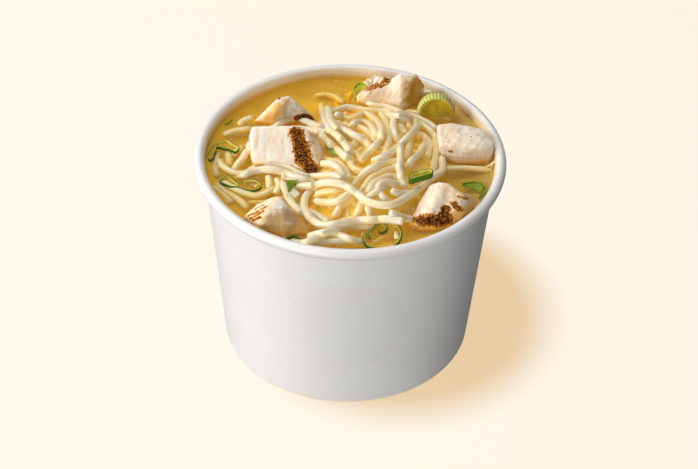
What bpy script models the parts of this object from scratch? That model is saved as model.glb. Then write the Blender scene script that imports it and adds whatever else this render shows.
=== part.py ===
"""A paper tub of chicken noodle soup, in metres, +Z up, with its origin under the middle of the foot.

The tub is a turned paper wall with a rolled rim and a folded foot, and a recessed floor whose skirt stands in
that fold. Broth fills it to just under the rim. The noodles are one heap: a low core with the strands that show
laid over it. Six chunks of chicken stand in the broth, and cut scallions float on it or lie on the heap.
"""

import math
from collections import namedtuple

import bmesh
import bpy
import numpy as np
from mathutils import Matrix, Vector, bvhtree, kdtree

MM = 0.001
GAP = 0.3 * MM

# The tub: its rim takes the common 115 mm soup lid.
RIM_RADIUS = 57.5 * MM
TUB_HEIGHT = 82.0 * MM
ROLL_RADIUS = 2.04 * MM
ROLL_STEPS = 10
CREASE_ANGLE = math.radians(-136)
PAPER = 0.7 * MM
FOOT_RADIUS = 47.6 * MM
FOOT_EDGE = 0.4 * MM
FOLD_PAPER = 0.6 * MM
FOLD_BASE = 0.9 * MM
FOLD_HEIGHT = 6.4 * MM
FLOOR_LEVEL = 7.5 * MM
TURN_STEPS = 60

ROLL_CENTRE = Vector((RIM_RADIUS - ROLL_RADIUS, 0, TUB_HEIGHT - ROLL_RADIUS))
INNER_FOOT_RADIUS = FOOT_RADIUS - PAPER
INNER_RIM_RADIUS = RIM_RADIUS - 2 * ROLL_RADIUS
WALL_SLOPE = (INNER_RIM_RADIUS - INNER_FOOT_RADIUS) / ROLL_CENTRE.z

# The broth, and the eye that the places on it are read from. What stands above the broth is listed where it
# hides the broth's surface from there, and raised() brings it back along that line.
BROTH_LEVEL = 79.0 * MM
EYE = Vector((0, -547.7, 503.8)) * MM

# The heap of noodles: a core that bulges out of the broth, with its reach in millimetres every 30 degrees.
NOODLE_RADIUS = 1.33 * MM
NOODLE_STEP = 2.3 * MM
HEAP_CENTRE = Vector((7, -4, 0)) * MM
HEAP_REACHES = (26.4, 29.7, 34.0, 36.0, 33.5, 19.0, 18.5, 24.0, 36.0, 38.5, 33.0, 26.0)
CORE_SIDES = 32
CORE_TOP = 4.6 * MM
CORE_EDGE = -1.5 * MM
CORE_ROUNDNESS = 3
CORE_BELOW = ((-17, 0.78), (-9, 0.95), (-3, 1.0))
CORE_RINGS = (1.0, 0.93, 0.82, 0.64, 0.42, 0.2)

# How a strand lies: how far its middle is above the core, how closely it rests on the strands below, and how
# far it bridges from one to the next.
REST = 0.6 * MM
STACK = 0.75
SETTLING_ROUNDS = 4
BRIDGING_ROUNDS = 3
SHORTEST_STRAND = 6.0 * MM

# Strands in millimetres, from the lowest to the highest.
STRANDS = {
    "front_shred": ((-15, -48), (-10, -44), (-5, -42.5), (0, -44)),
    "front_end": ((-3, -47), (1, -45.5), (5, -45.5)),
    "front_run": ((-8, -41), (0, -40.5), (5, -39), (11, -37.5)),
    "under_loop_1": ((-5, -35), (-3, -30), (0, -26)),
    "under_loop_2": ((-13, -29), (-9, -33), (-6.5, -36)),
    "under_loop_3": ((2.5, -33), (3.5, -27), (3, -23)),
    "under_loop_4": ((7, -33), (8, -29), (8, -25)),
    "in_loop_1": ((-12, -20), (-8, -18.5), (-4, -20), (-1, -23)),
    "in_loop_2": ((-13, -25), (-8, -26.5), (-4, -26), (-1, -23), (0, -19)),
    "left_dip": ((-24, -18), (-22, -25), (-18, -31), (-15, -37)),
    "left_bend": ((-9.5, -3), (-6, -3), (-3.3, -6), (-2.5, -11), (-3, -15)),
    "fan_2": ((17, -5), (10, -7), (7, -10), (5, -15), (4.5, -20)),
    "fan_1": ((17, -1), (11, -2), (7, -5), (4, -9), (2, -13), (1, -18)),
    "fan_3": ((16, -10), (11, -11.5), (8.5, -15), (7, -21)),
    "curl": ((10, -13.5), (12.3, -14.5), (12.5, -18), (14, -21.5), (16, -25)),
    "nest_end": ((25, -13), (21.5, -18.5), (17.5, -19.5), (15, -17)),
    "right_outer": ((25, 26), (29, 21), (30.5, 16), (31, 10), (31, 4)),
    "right_inner": ((24, 17), (27.5, 14), (29, 9), (29, 3)),
    "right_dip": ((28, 9), (25, 3), (21, -2), (18, -5)),
    "crown_inner_3": ((-6, 18.5), (-1, 16.5), (3, 14), (6, 10.5)),
    "crown_inner_1": ((-2, 22), (2, 24), (6, 23), (8, 19), (9, 15)),
    "crown_inner_2": ((-4, 20.5), (0, 19.5), (4, 17), (8, 12)),
    "crown_side": ((10, 28), (13, 26), (13.8, 19), (13.3, 13), (12, 8), (10, 4)),
    "back_arc": ((0, 31.5), (5, 31), (10, 31), (13.5, 30), (15.5, 26), (16.5, 21), (15.5, 15), (13.5, 8)),
    "centre_s": (
        (-9.5, 31), (-8.7, 25), (-6.5, 20), (-2, 16.5), (1, 13), (1.3, 9), (0.5, 5), (-0.3, 0), (0.5, -4), (3, -8),
    ),
    "left_arch": (
        (-1.5, 1), (-5, 4.5), (-8, 9.5), (-9.8, 13.5), (-9, 16.5), (-6.5, 17), (-4, 14), (-1, 9.5), (0.5, 5),
    ),
    "right_sweep": (
        (10, 33), (15, 32), (19, 29.5), (23, 27), (25, 23), (24, 18), (21, 14), (18, 9), (16, 5), (13, 2.5), (8, 0),
    ),
    "crown": (
        (-6, 25), (-2, 25), (2, 26.5), (6, 26), (9, 23), (11, 19), (11.5, 15), (10.5, 10), (8, 6), (5.5, 2), (3, -3),
    ),
    "front_bar": ((-3, -34.5), (3, -34), (9, -33), (15, -33), (20, -33.5)),
    "big_loop": (
        (20, -36), (10, -37), (0, -38), (-8, -38.5), (-14, -35), (-16.3, -28), (-15, -20), (-11, -14.5), (-7, -13),
        (-2, -14.5), (2, -18), (5, -22), (8, -25.5), (13, -27.5), (18, -26.5), (23, -22), (28, -14), (31, -8),
        (32, -2), (31, 4), (29.5, 10), (28, 16),
    ),
    "post": ((17.5, 4), (17.3, -2), (18, -8), (19.7, -15)),
    "left_run": ((-41, -11), (-36, -9.5), (-30, -8.5), (-24, -9.8), (-18, -12.7), (-12, -15.5)),
    "back_left_run": ((-28, 21.5), (-24, 23.5), (-18, 22.5), (-13, 20), (-8, 18)),
    "left_cross": ((-19, -17), (-15, -18.5), (-10, -18)),
}

# A chunk of chicken: columns of (x, y, height) in millimetres across the face that shows, as a top row and a
# foot row, and how the chunk goes back and down from that face.
Chunk = namedtuple("Chunk", "top foot back")
CHICKEN = {
    "chicken_back_right": Chunk(
        top=(
            (2, 41, 1.5), (5.5, 46, 4), (11.5, 55, 9.5), (15.5, 52.5, 8.5), (18.5, 56, 11), (25, 56, 10.5),
            (28, 46, 6.5),
        ),
        foot=((1.5, 36.5, 0.3), (4, 34.5, 0), (10, 34, 0), (15, 32.5, 0), (19, 30.5, 0), (23, 37, 1), (26, 41, 2)),
        back=(0, 4.5, -11),
    ),
    "chicken_back_left": Chunk(
        top=((-33, 28, 3.5), (-28, 37.5, 8.4), (-24, 39, 9), (-15, 27, 2.5)),
        foot=((-37, 21.5, 0), (-30, 20, 0), (-24, 20, 0), (-12.5, 20, -1)),
        back=(-1, 6, -10),
    ),
    "chicken_left": Chunk(
        top=((-37.5, 19, 12), (-21, 20, 12.5), (-17.5, 19, 11.5), (-12, 13, 8)),
        foot=((-36, -5.5, 0.8), (-20, -6, 1), (-13.5, -9, 0.5), (-11, -3, 0.5)),
        back=(-3.5, 9, -10),
    ),
    "chicken_right": Chunk(
        top=((32.5, 24, 5.5), (41, 25, 6), (48.5, 23.5, 5.5), (52.5, 12, 4)),
        foot=((34, 6, 5), (42, 5, 5.2), (49, 5.5, 5), (52.5, 7, 4)),
        back=(-1, 1, -13),
    ),
    "chicken_front_left": Chunk(
        top=((-33, -28, 4.5), (-25.5, -22.5, 8), (-16.5, -36, 1)),
        foot=((-36.5, -34, 1.5), (-31, -38, 3), (-17.5, -46, 0.5)),
        back=(1.5, 1.5, -11),
    ),
    "chicken_front_right": Chunk(
        top=((30, -13, 6), (35.5, -11, 8), (39.5, -17, 7), (43.5, -18, 6.5), (46, -22, 2.5)),
        foot=((21, -37, 0.3), (26, -39, 0.5), (33, -38, 0.5), (40, -33, 0.5), (44.5, -25.5, 0.5)),
        back=(-1.5, 2, -10),
    ),
}
CHUNK_TAPER = 0.88
CHUNK_BEVEL = 1.3 * MM
SHARPEST_KEPT = math.radians(25)
POCKET_SPREAD = 0.8 * MM

# A piece of scallion, in millimetres and degrees: the outline that its leaf follows, drawn round its place
# (x, y, height), the thickness of the leaf, the length that was cut, its tilt, and whether it is a whole ring.
Leaf = namedtuple("Leaf", "outline place thick length tilt ring")
SCALLIONS = {
    "scallion_ring_front": Leaf(
        ((6.4, 0), (4.8, 4.3), (0, 6.3), (-4.6, 4.5), (-6.3, 0), (-4.7, -4.4), (0, -6.2), (4.7, -4.3)),
        (12, -43.3, 1.2), 0.8, 1.7, (0, 0, 0), True,
    ),
    "scallion_fold_left": Leaf(
        (
            (-5, -4.6), (-5, 0), (-3.2, 3.8), (0.5, 5.6), (5, 2.6), (5.2, 0.2), (1.5, 0.4), (-1.4, 2), (-3, -0.4),
            (-3.4, -4.2),
        ),
        (-46.8, 3, 1.2), 0.7, 1.7, (0, 0, 0), True,
    ),
    "scallion_eight": Leaf(
        (
            (-7, 2), (-4, 3.2), (-0.8, 0.6), (1.6, 0.5), (4.5, 2.6), (7, 0.6), (6.8, -2.2), (4, -3.6), (1, -2),
            (-1.4, -1.7), (-5, -0.8), (-7.3, 0.3),
        ),
        (-40, -17, 1.2), 0.7, 1.7, (0, 0, 0), True,
    ),
    "scallion_slit": Leaf(
        ((-2.2, 6), (0.6, 5.8), (0.3, 2), (2, -2), (1.6, -6), (-0.6, -4), (-2.2, 0)),
        (-21.3, -22, 1.2), 0.7, 1.7, (0, 0, 0), True,
    ),
    "scallion_flat_ring": Leaf(
        ((-4, -0.4), (-3, 1.4), (0, 1.8), (3.2, 1.4), (4, 0), (3.2, -1.5), (0, -1.8), (-3, -1.7)),
        (26, -9.3, 7.6), 0.8, 2.4, (0, 0, 25), True,
    ),
    "scallion_crescent": Leaf(
        ((-3.2, -0.6), (-1.8, 1.1), (0.3, 1.3), (2.2, -0.2), (3.3, -2.2)),
        (-19, -45.8, 1.2), 0.8, 1.7, (0, 0, 0), False,
    ),
    "scallion_hook": Leaf(
        ((4.2, 4), (1, 3.9), (-2, 2.6), (-2.5, -0.2), (-1.4, -3.4), (-0.6, -5)),
        (1.4, 45, 1.2), 0.8, 1.7, (0, 0, 0), False,
    ),
    "scallion_stem": Leaf(
        ((-5.2, -2.8), (-4.9, 0), (-3.3, 2.2), (0, 3.3), (3.3, 2.2), (4.9, 0), (5.2, -2.8)),
        (32.3, 35.6, 3.3), 2.8, 5.0, (82, 0, -6), False,
    ),
}
OUTLINE_STEP = 1.6 * MM

# The sharpest turn between two faces that is still shaded round: on a turned piece, and on six-sided strands.
TURNED_SHARPEST = math.radians(40)
STRAND_SHARPEST = math.radians(70)

PAPER_WHITE = (0.90, 0.90, 0.89)
BROTH_GOLD = (0.78, 0.58, 0.20)
NOODLE_CREAM = (0.88, 0.77, 0.50)
CHICKEN_PALE = (0.86, 0.70, 0.54)
SCALLION_GREEN = (0.22, 0.42, 0.07)


def clear_scene():
    for obj in list(bpy.data.objects):
        bpy.data.objects.remove(obj, do_unlink=True)


def new_collection(name):
    made = bpy.data.collections.new(name)
    bpy.context.scene.collection.children.link(made)
    return made


def new_material(name, colour, roughness):
    made = bpy.data.materials.new(name)
    made.use_nodes = True
    shader = made.node_tree.nodes["Principled BSDF"]
    shader.inputs["Base Color"].default_value = (*colour, 1)
    shader.inputs["Roughness"].default_value = roughness
    shader.inputs["Metallic"].default_value = 0
    return made


def mesh_from(bm, name):
    mesh = bpy.data.meshes.new(name)
    bm.to_mesh(mesh)
    bm.free()
    return mesh


def add_object(mesh, name, group, finish=None):
    obj = bpy.data.objects.new(name, mesh)
    group.objects.link(obj)
    if finish:
        mesh.materials.append(finish)
    return obj


def shade_round(mesh, sharpest=TURNED_SHARPEST):
    mesh.shade_smooth()
    mesh.set_sharp_from_angle(angle=sharpest)


def evaluated_mesh(obj):
    """The mesh that obj's modifiers make, in world space."""
    bpy.context.view_layer.update()
    evaluated = obj.evaluated_get(bpy.context.evaluated_depsgraph_get())
    mesh = bpy.data.meshes.new_from_object(evaluated)
    mesh.transform(obj.matrix_world)
    return mesh


def remove(obj):
    bpy.data.objects.remove(obj, do_unlink=True)


def wall_radius(height):
    """Inner radius of the tub at a height."""
    return INNER_FOOT_RADIUS + WALL_SLOPE * height


def raised(x, y, height):
    """The point this high above the broth that hides (x, y) on it."""
    seen = Vector((x, y, BROTH_LEVEL))
    return seen.lerp(EYE, height / (EYE.z - BROTH_LEVEL))


def between(before, start, end, after, share):
    """A smooth step from start to end, at a share of the way."""
    bend = 2 * before - 5 * start + 4 * end - after
    twist = 3 * (start - end) + after - before
    return start + 0.5 * share * (end - before + share * (bend + share * twist))


def smooth_run(points, step, closed=False):
    """Evenly spaced points along a smooth curve through the given ones."""
    known = np.array(points, float)
    if closed:
        known = np.vstack([known[-1], known, known[:2]])
    else:
        known = np.vstack([2 * known[0] - known[1], known, 2 * known[-1] - known[-2]])
    share = np.linspace(0, 1, 12, endpoint=False)[:, None]
    stretches = [between(*four, share) for four in zip(known, known[1:], known[2:], known[3:])]
    fine = np.vstack([*stretches, known[-2]])
    along = np.concatenate([[0], np.cumsum(np.linalg.norm(np.diff(fine, axis=0), axis=1))])
    spaced = np.linspace(0, along[-1], max(3, round(along[-1] / step) + 1))
    run = np.stack([np.interp(spaced, along, fine[:, k]) for k in range(fine.shape[1])], axis=1)
    return run[:-1] if closed else run


def turned(name, profile, group, finish):
    """A solid of revolution. The profile runs down its outer side, and closes on itself or on the axis."""
    bm = bmesh.new()
    verts = [bm.verts.new((radius, 0, height)) for radius, height in profile]
    for start, end in zip(verts, verts[1:]):
        bm.edges.new((start, end))
    if profile[0][0] > 0:
        bm.edges.new((verts[-1], verts[0]))
    spun = add_object(mesh_from(bm, name), name, group)
    screw = spun.modifiers.new("turn", "SCREW")
    screw.steps = TURN_STEPS
    screw.render_steps = TURN_STEPS
    screw.use_merge_vertices = True
    screw.merge_threshold = 0.00001
    mesh = evaluated_mesh(spun)
    remove(spun)
    shade_round(mesh)
    return add_object(mesh, name, group, finish)


def add_tub_wall(group, finish):
    sweep = np.linspace(math.pi, CREASE_ANGLE, ROLL_STEPS + 1)
    roll = [
        (ROLL_CENTRE.x + ROLL_RADIUS * math.cos(a), ROLL_CENTRE.z + ROLL_RADIUS * math.sin(a)) for a in sweep
    ]
    fold_outside = INNER_FOOT_RADIUS - 2 * GAP - FOLD_PAPER
    foot = [
        (FOOT_RADIUS, FOOT_EDGE),
        (FOOT_RADIUS - FOOT_EDGE, 0),
        (fold_outside - FOLD_PAPER, 0),
        (fold_outside - FOLD_PAPER, FOLD_HEIGHT),
        (fold_outside, FOLD_HEIGHT),
        (fold_outside, FOLD_BASE),
        (wall_radius(FOLD_BASE), FOLD_BASE),
    ]
    return turned("tub_wall", roll + foot, group, finish)


def add_tub_floor(group, finish):
    """The floor, and the skirt that stands in the foot's fold."""
    skirt_base = FOLD_BASE + GAP
    skirt_inside = wall_radius(skirt_base) - GAP - FOLD_PAPER
    underside = FLOOR_LEVEL - FOLD_PAPER
    profile = [
        (0, FLOOR_LEVEL),
        (wall_radius(FLOOR_LEVEL) - GAP, FLOOR_LEVEL),
        (wall_radius(skirt_base) - GAP, skirt_base),
        (skirt_inside, skirt_base),
        (skirt_inside, underside),
        (0, underside),
    ]
    return turned("tub_floor", profile, group, finish)


def add_broth(group, finish):
    bed = FLOOR_LEVEL + GAP
    profile = [
        (0, BROTH_LEVEL),
        (wall_radius(BROTH_LEVEL) - GAP, BROTH_LEVEL),
        (wall_radius(bed) - GAP, bed),
        (0, bed),
    ]
    return turned("broth", profile, group, finish)


def add_chunk(name, shape, group, finish):
    """A chunk of chicken: the face that shows, drawn back and down to a slightly smaller one, with round edges."""
    bm = bmesh.new()
    foot, top = ([bm.verts.new(raised(*(Vector(c) * MM))) for c in row] for row in (shape.foot, shape.top))
    face = [bm.faces.new((foot[k], foot[k + 1], top[k + 1], top[k])) for k in range(len(top) - 1)]
    drawn = bmesh.ops.extrude_face_region(bm, geom=face, use_keep_orig=True)
    moved = [v for v in drawn["geom"] if isinstance(v, bmesh.types.BMVert)]
    middle = sum((v.co for v in moved), Vector()) / len(moved)
    bmesh.ops.scale(bm, vec=(CHUNK_TAPER,) * 3, space=Matrix.Translation(-middle), verts=moved)
    bmesh.ops.translate(bm, vec=Vector(shape.back) * MM, verts=moved)
    bmesh.ops.recalc_face_normals(bm, faces=bm.faces)
    bmesh.ops.triangulate(bm, faces=bm.faces)
    mesh = mesh_from(bm, name)
    mesh.shade_smooth()
    obj = add_object(mesh, name, group, finish)
    bevel = obj.modifiers.new("round", "BEVEL")
    bevel.width = CHUNK_BEVEL
    bevel.segments = 2
    bevel.limit_method = "ANGLE"
    bevel.angle_limit = SHARPEST_KEPT
    return obj


def add_leaf(name, shape, group, finish):
    """A piece of scallion: its outline drawn up by the length that was cut, with the leaf's thickness."""
    run = smooth_run(np.array(shape.outline) * MM, OUTLINE_STEP, shape.ring)
    bm = bmesh.new()
    verts = [bm.verts.new((x, y, -shape.length * MM / 2)) for x, y in run]
    edges = [bm.edges.new(pair) for pair in zip(verts, verts[1:])]
    if shape.ring:
        edges.append(bm.edges.new((verts[-1], verts[0])))
    drawn = bmesh.ops.extrude_edge_only(bm, edges=edges)
    moved = [v for v in drawn["geom"] if isinstance(v, bmesh.types.BMVert)]
    bmesh.ops.translate(bm, vec=(0, 0, shape.length * MM), verts=moved)
    mesh = mesh_from(bm, name)
    shade_round(mesh)
    obj = add_object(mesh, name, group, finish)
    obj.location = raised(*(Vector(shape.place) * MM))
    obj.rotation_euler = [math.radians(angle) for angle in shape.tilt]
    solidify = obj.modifiers.new("leaf", "SOLIDIFY")
    solidify.thickness = shape.thick * MM
    solidify.offset = 0
    solidify.use_even_offset = True
    return obj


def add_pocket(mesh, name, cutters):
    """A cutter a gap larger than the piece that it makes room for."""
    obj = add_object(mesh, name + "_pocket", cutters)
    spread = obj.modifiers.new("gap", "DISPLACE")
    spread.strength = POCKET_SPREAD
    spread.mid_level = 0
    obj.hide_render = True
    obj.display_type = "WIRE"
    return obj


def combine(obj, operation, group, solver):
    boolean = obj.modifiers.new(operation.lower(), "BOOLEAN")
    boolean.operation = operation
    boolean.operand_type = "COLLECTION"
    boolean.collection = group
    boolean.solver = solver
    return boolean


def heap_reach(angle):
    """How far the core reaches at an angle, on a smooth closed curve through the named reaches."""
    spot = angle / (2 * math.pi) % 1 * len(HEAP_REACHES)
    first = int(spot)
    four = [HEAP_REACHES[(first + k) % len(HEAP_REACHES)] for k in (-1, 0, 1, 2)]
    return between(*four, spot - first) * MM


def dome(share):
    """Height of the core above the broth at a share of its reach."""
    return CORE_EDGE + (CORE_TOP - CORE_EDGE) * (1 - min(share, 1) ** CORE_ROUNDNESS)


def core_height(point):
    across = point.xy - HEAP_CENTRE.xy
    return dome(across.length / heap_reach(math.atan2(across.y, across.x)))


def heap_core():
    """The core, lofted from its foot under the broth to the top of its dome."""
    levels = [(depth * MM, share) for depth, share in CORE_BELOW]
    levels += [(dome(share), share) for share in CORE_RINGS]
    angles = np.linspace(0, 2 * math.pi, CORE_SIDES, endpoint=False)
    spokes = [Vector((math.cos(a), math.sin(a), 0)) * heap_reach(a) for a in angles]
    bm = bmesh.new()
    rings = []
    for height, share in levels:
        middle = HEAP_CENTRE + Vector((0, 0, BROTH_LEVEL + height))
        rings.append([bm.verts.new(middle + spoke * share) for spoke in spokes])
    for low, high in zip(rings, rings[1:]):
        for k in range(CORE_SIDES):
            bm.faces.new((low[k - 1], low[k], high[k], high[k - 1]))
    bm.faces.new(rings[0][::-1])
    bm.faces.new(rings[-1])
    return mesh_from(bm, "heap core")


def height_over(point, laid, tree):
    """The lowest that a strand's middle can be at a point: over the broth, the core and the strands below."""
    lowest = max(GAP + NOODLE_RADIUS, core_height(point) + REST)
    for _, index, apart in tree.find_range((point.x, point.y, 0), 2 * NOODLE_RADIUS):
        lift = STACK * math.sqrt(max(0, 4 * NOODLE_RADIUS**2 - apart**2))
        lowest = max(lowest, laid[index].z - BROTH_LEVEL + lift)
    return lowest


def settle(seen, laid):
    """Points along a strand that is seen at these places, resting on the core and on what was laid before."""
    tree = kdtree.KDTree(len(laid))
    for index, point in enumerate(laid):
        tree.insert((point.x, point.y, 0), index)
    tree.balance()
    heights = np.zeros(len(seen))
    for _ in range(SETTLING_ROUNDS):
        points = [raised(x, y, height) for (x, y), height in zip(seen, heights)]
        needed = np.array([height_over(point, laid, tree) for point in points])
        heights = needed.copy()
        for _ in range(BRIDGING_ROUNDS):
            bridged = (heights[:-2] + 2 * heights[1:-1] + heights[2:]) / 4
            heights[1:-1] = np.maximum(needed[1:-1], bridged)
    return [raised(x, y, height) for (x, y), height in zip(seen, heights)]


def is_clear(point, shapes):
    """Whether a strand's middle can be at a point without touching the tub or any of the shapes."""
    room = NOODLE_RADIUS + GAP
    if point.xy.length > wall_radius(min(point.z, ROLL_CENTRE.z)) - room:
        return False
    for shape in shapes:
        nearest, normal, _, apart = shape.find_nearest(point)
        if apart < room or (point - nearest).dot(normal) < 0:
            return False
    return True


def longest_clear(points, shapes):
    """The longest stretch of a strand that touches nothing."""
    best, current = [], []
    for point in points:
        current = current + [point] if is_clear(point, shapes) else []
        best = max(best, current, key=len)
    return best


def add_strand(name, points, group):
    """A noodle as a closed tube."""
    curve = bpy.data.curves.new(name, "CURVE")
    curve.dimensions = "3D"
    curve.bevel_depth = NOODLE_RADIUS
    curve.bevel_resolution = 1
    curve.use_fill_caps = True
    spline = curve.splines.new("POLY")
    spline.points.add(len(points) - 1)
    for knot, point in zip(spline.points, points):
        knot.co = (*point, 1)
    guide = add_object(curve, name + "_path", group)
    mesh = evaluated_mesh(guide)
    remove(guide)
    bm = bmesh.new()
    bm.from_mesh(mesh)
    bmesh.ops.remove_doubles(bm, verts=bm.verts, dist=0.00001)
    bmesh.ops.recalc_face_normals(bm, faces=bm.faces)
    bm.to_mesh(mesh)
    bm.free()
    return add_object(mesh, name, group)


def search_tree(piece):
    mesh = evaluated_mesh(piece)
    tree = bvhtree.BVHTree.FromPolygons([v.co for v in mesh.vertices], [p.vertices for p in mesh.polygons])
    bpy.data.meshes.remove(mesh)
    return tree


def add_noodles(toppings, cutters, group, finish):
    """The heap: its core with room pressed in it for the chicken, and the strands joined on."""
    core = add_object(heap_core(), "noodles", group)
    combine(core, "DIFFERENCE", cutters, "EXACT")
    shapes = [search_tree(topping) for topping in toppings]
    strands = new_collection("strands")
    laid = []
    for name, places in STRANDS.items():
        seen = smooth_run(np.array(places) * MM, NOODLE_STEP)
        run = longest_clear(settle(seen, laid), shapes)
        if len(run) * NOODLE_STEP > SHORTEST_STRAND:
            laid += run
            add_strand(name, run, strands)
    combine(core, "UNION", strands, "MANIFOLD")
    mesh = evaluated_mesh(core)
    remove(core)
    for strand in list(strands.objects):
        remove(strand)
    bpy.data.collections.remove(strands)
    mesh.materials.clear()
    shade_round(mesh, STRAND_SHARPEST)
    return add_object(mesh, "noodles", group, finish)


def main():
    clear_scene()
    soup = new_collection("chicken noodle soup")
    cutters = new_collection("pockets")
    paper = new_material("white paper", PAPER_WHITE, 0.55)
    add_tub_wall(soup, paper)
    add_tub_floor(soup, paper)
    meat = new_material("cooked chicken", CHICKEN_PALE, 0.6)
    chicken = [add_chunk(name, shape, soup, meat) for name, shape in CHICKEN.items()]
    green = new_material("scallion", SCALLION_GREEN, 0.35)
    scallions = [add_leaf(name, shape, soup, green) for name, shape in SCALLIONS.items()]
    for chunk in chicken:
        add_pocket(chunk.data.copy(), chunk.name, cutters)
    cream = new_material("noodle", NOODLE_CREAM, 0.4)
    add_noodles(chicken + scallions, cutters, soup, cream)
    add_pocket(heap_core(), "noodles", cutters)
    golden = new_material("broth", BROTH_GOLD, 0.1)
    combine(add_broth(soup, golden), "DIFFERENCE", cutters, "EXACT")


if __name__ == "__main__":
    main()
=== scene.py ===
"""The looks of a paper tub of chicken noodle soup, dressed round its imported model.

The tub is turned paper with a rolled rim. Broth fills it to just under the rim, and noodles, seared chunks of
chicken and cut scallions lie in it. Lengths are in metres. Tables in millimetres say so.
"""

import logging
import math
import random
from collections.abc import Callable, Iterable, Sequence
from dataclasses import dataclass, field
from enum import Enum

import bpy
import numpy as np
from mathutils import Matrix, Vector, bvhtree, kdtree, noise


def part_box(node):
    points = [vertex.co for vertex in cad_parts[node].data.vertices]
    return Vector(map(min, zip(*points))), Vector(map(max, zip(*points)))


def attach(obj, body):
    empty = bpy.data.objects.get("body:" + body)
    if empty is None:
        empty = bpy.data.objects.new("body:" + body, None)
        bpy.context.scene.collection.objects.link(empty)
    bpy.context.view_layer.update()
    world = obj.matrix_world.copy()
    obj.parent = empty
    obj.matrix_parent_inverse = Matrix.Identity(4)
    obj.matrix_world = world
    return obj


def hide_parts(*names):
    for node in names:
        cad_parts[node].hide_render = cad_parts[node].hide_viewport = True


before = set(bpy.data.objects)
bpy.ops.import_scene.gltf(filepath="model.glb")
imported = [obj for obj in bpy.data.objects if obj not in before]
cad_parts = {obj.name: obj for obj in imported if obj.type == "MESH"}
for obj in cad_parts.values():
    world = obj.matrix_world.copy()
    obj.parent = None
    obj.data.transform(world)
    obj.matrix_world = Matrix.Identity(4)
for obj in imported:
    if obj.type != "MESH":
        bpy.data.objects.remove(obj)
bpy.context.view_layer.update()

LOG = logging.getLogger("soup")
MM = 0.001
UP = Vector((0, 0, 1))

# The tub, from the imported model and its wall's own sizes.
RIM_RADIUS = 57.5 * MM
TUB_HEIGHT = 82.0 * MM
ROLL_RADIUS = 2.04 * MM
PAPER = 0.7 * MM
FOOT_RADIUS = 47.6 * MM
FOLD_INSIDE = 45.1 * MM
FOLD_OUTSIDE = 45.7 * MM
FOLD_HEIGHT = 6.4 * MM
FOLD_BASE = 0.9 * MM
ROLL_CENTRE = Vector((RIM_RADIUS - ROLL_RADIUS, 0, TUB_HEIGHT - ROLL_RADIUS))
INNER_FOOT_RADIUS = FOOT_RADIUS - PAPER
WALL_SLOPE = (RIM_RADIUS - 2 * ROLL_RADIUS - INNER_FOOT_RADIUS) / ROLL_CENTRE.z
BROTH_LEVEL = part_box("broth")[1].z

# The eye that the places on the broth are read from, and how the photograph's camera is turned from looking at
# the middle of the tub's foot, in degrees.
EYE = Vector((0, -547.7, 503.8)) * MM
FOCAL_PIXELS = 1878.5
PHOTO_WIDTH = 698
SENSOR = 36.0
PAN, TILT, ROLL = -0.02589, 2.4965, -1.48684

# The noodle heap's core: its reach in millimetres every 30 degrees, and its dome.
NOODLE_RADIUS = 1.42 * MM
HEAP_CENTRE = Vector((7, -4, 0)) * MM
HEAP_REACHES = (26.4, 29.7, 34.0, 36.0, 33.5, 19.0, 18.5, 24.0, 36.0, 38.5, 33.0, 26.0)
CORE_TOP = 4.6 * MM
CORE_EDGE = -1.5 * MM
CORE_ROUNDNESS = 3

Place = tuple[float, float]
Run = tuple[Place, ...]
Spot = tuple[float, float, float]
Colour = tuple[float, float, float]
Amount = float | np.ndarray
Piece = bpy.types.Object
Material = bpy.types.Material
Socket = bpy.types.NodeSocket


def wall_radius(height: float) -> float:
    """Returns the tub's inner radius at a height."""
    return INNER_FOOT_RADIUS + WALL_SLOPE * height


def raised(x: float, y: float, height: float) -> Vector:
    """Finds the point that hides a place on the broth from the eye.

    Args:
        x: The place's X, in metres.
        y: The place's Y, in metres.
        height: How far the point is above the broth.

    Returns:
        The point.
    """
    seen = Vector((x, y, BROTH_LEVEL))
    return seen.lerp(EYE, height / (EYE.z - BROTH_LEVEL))


def as_seen(point: Vector) -> Vector:
    """Returns the place on the broth, in millimetres, that a point hides from the eye."""
    share = (EYE.z - BROTH_LEVEL) / (EYE.z - point.z)
    return (EYE + (point - EYE) * share).xy / MM


def between(before: Amount, start: Amount, end: Amount, after: Amount, share: Amount) -> Amount:
    """Steps smoothly from one value to the next.

    Args:
        before: The value before the start.
        start: The value at share 0.
        end: The value at share 1.
        after: The value after the end.
        share: How far along the step is.

    Returns:
        The value there, on a smooth curve through all four.
    """
    bend = 2 * before - 5 * start + 4 * end - after
    twist = 3 * (start - end) + after - before
    return start + 0.5 * share * (end - before + share * (bend + share * twist))


def smooth_run(points: Sequence[Sequence[float]], step: float, closed: bool = False) -> np.ndarray:
    """Spaces points evenly along a smooth curve.

    Args:
        points: The points that the curve goes through.
        step: The distance between the new points.
        closed: Whether the curve runs back to its start.

    Returns:
        One row for each new point.
    """
    known = np.array(points, float)
    if closed:
        known = np.vstack([known[-1], known, known[:2]])
    else:
        known = np.vstack([2 * known[0] - known[1], known, 2 * known[-1] - known[-2]])
    share = np.linspace(0, 1, 16, endpoint=False)[:, None]
    stretches = [between(*four, share) for four in zip(known, known[1:], known[2:], known[3:])]
    fine = np.vstack([*stretches, known[-2]])
    along = np.concatenate([[0], np.cumsum(np.linalg.norm(np.diff(fine, axis=0), axis=1))])
    spaced = np.linspace(0, along[-1], max(3, round(along[-1] / step) + 1))
    run = np.stack([np.interp(spaced, along, fine[:, k]) for k in range(fine.shape[1])], axis=1)
    return run[:-1] if closed else run


def smooth_step(value: float, low: float, high: float) -> float:
    """Returns 0 at low, 1 at high, and a smooth rise between them."""
    share = min(max((value - low) / (high - low), 0), 1)
    return share * share * (3 - 2 * share)


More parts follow.
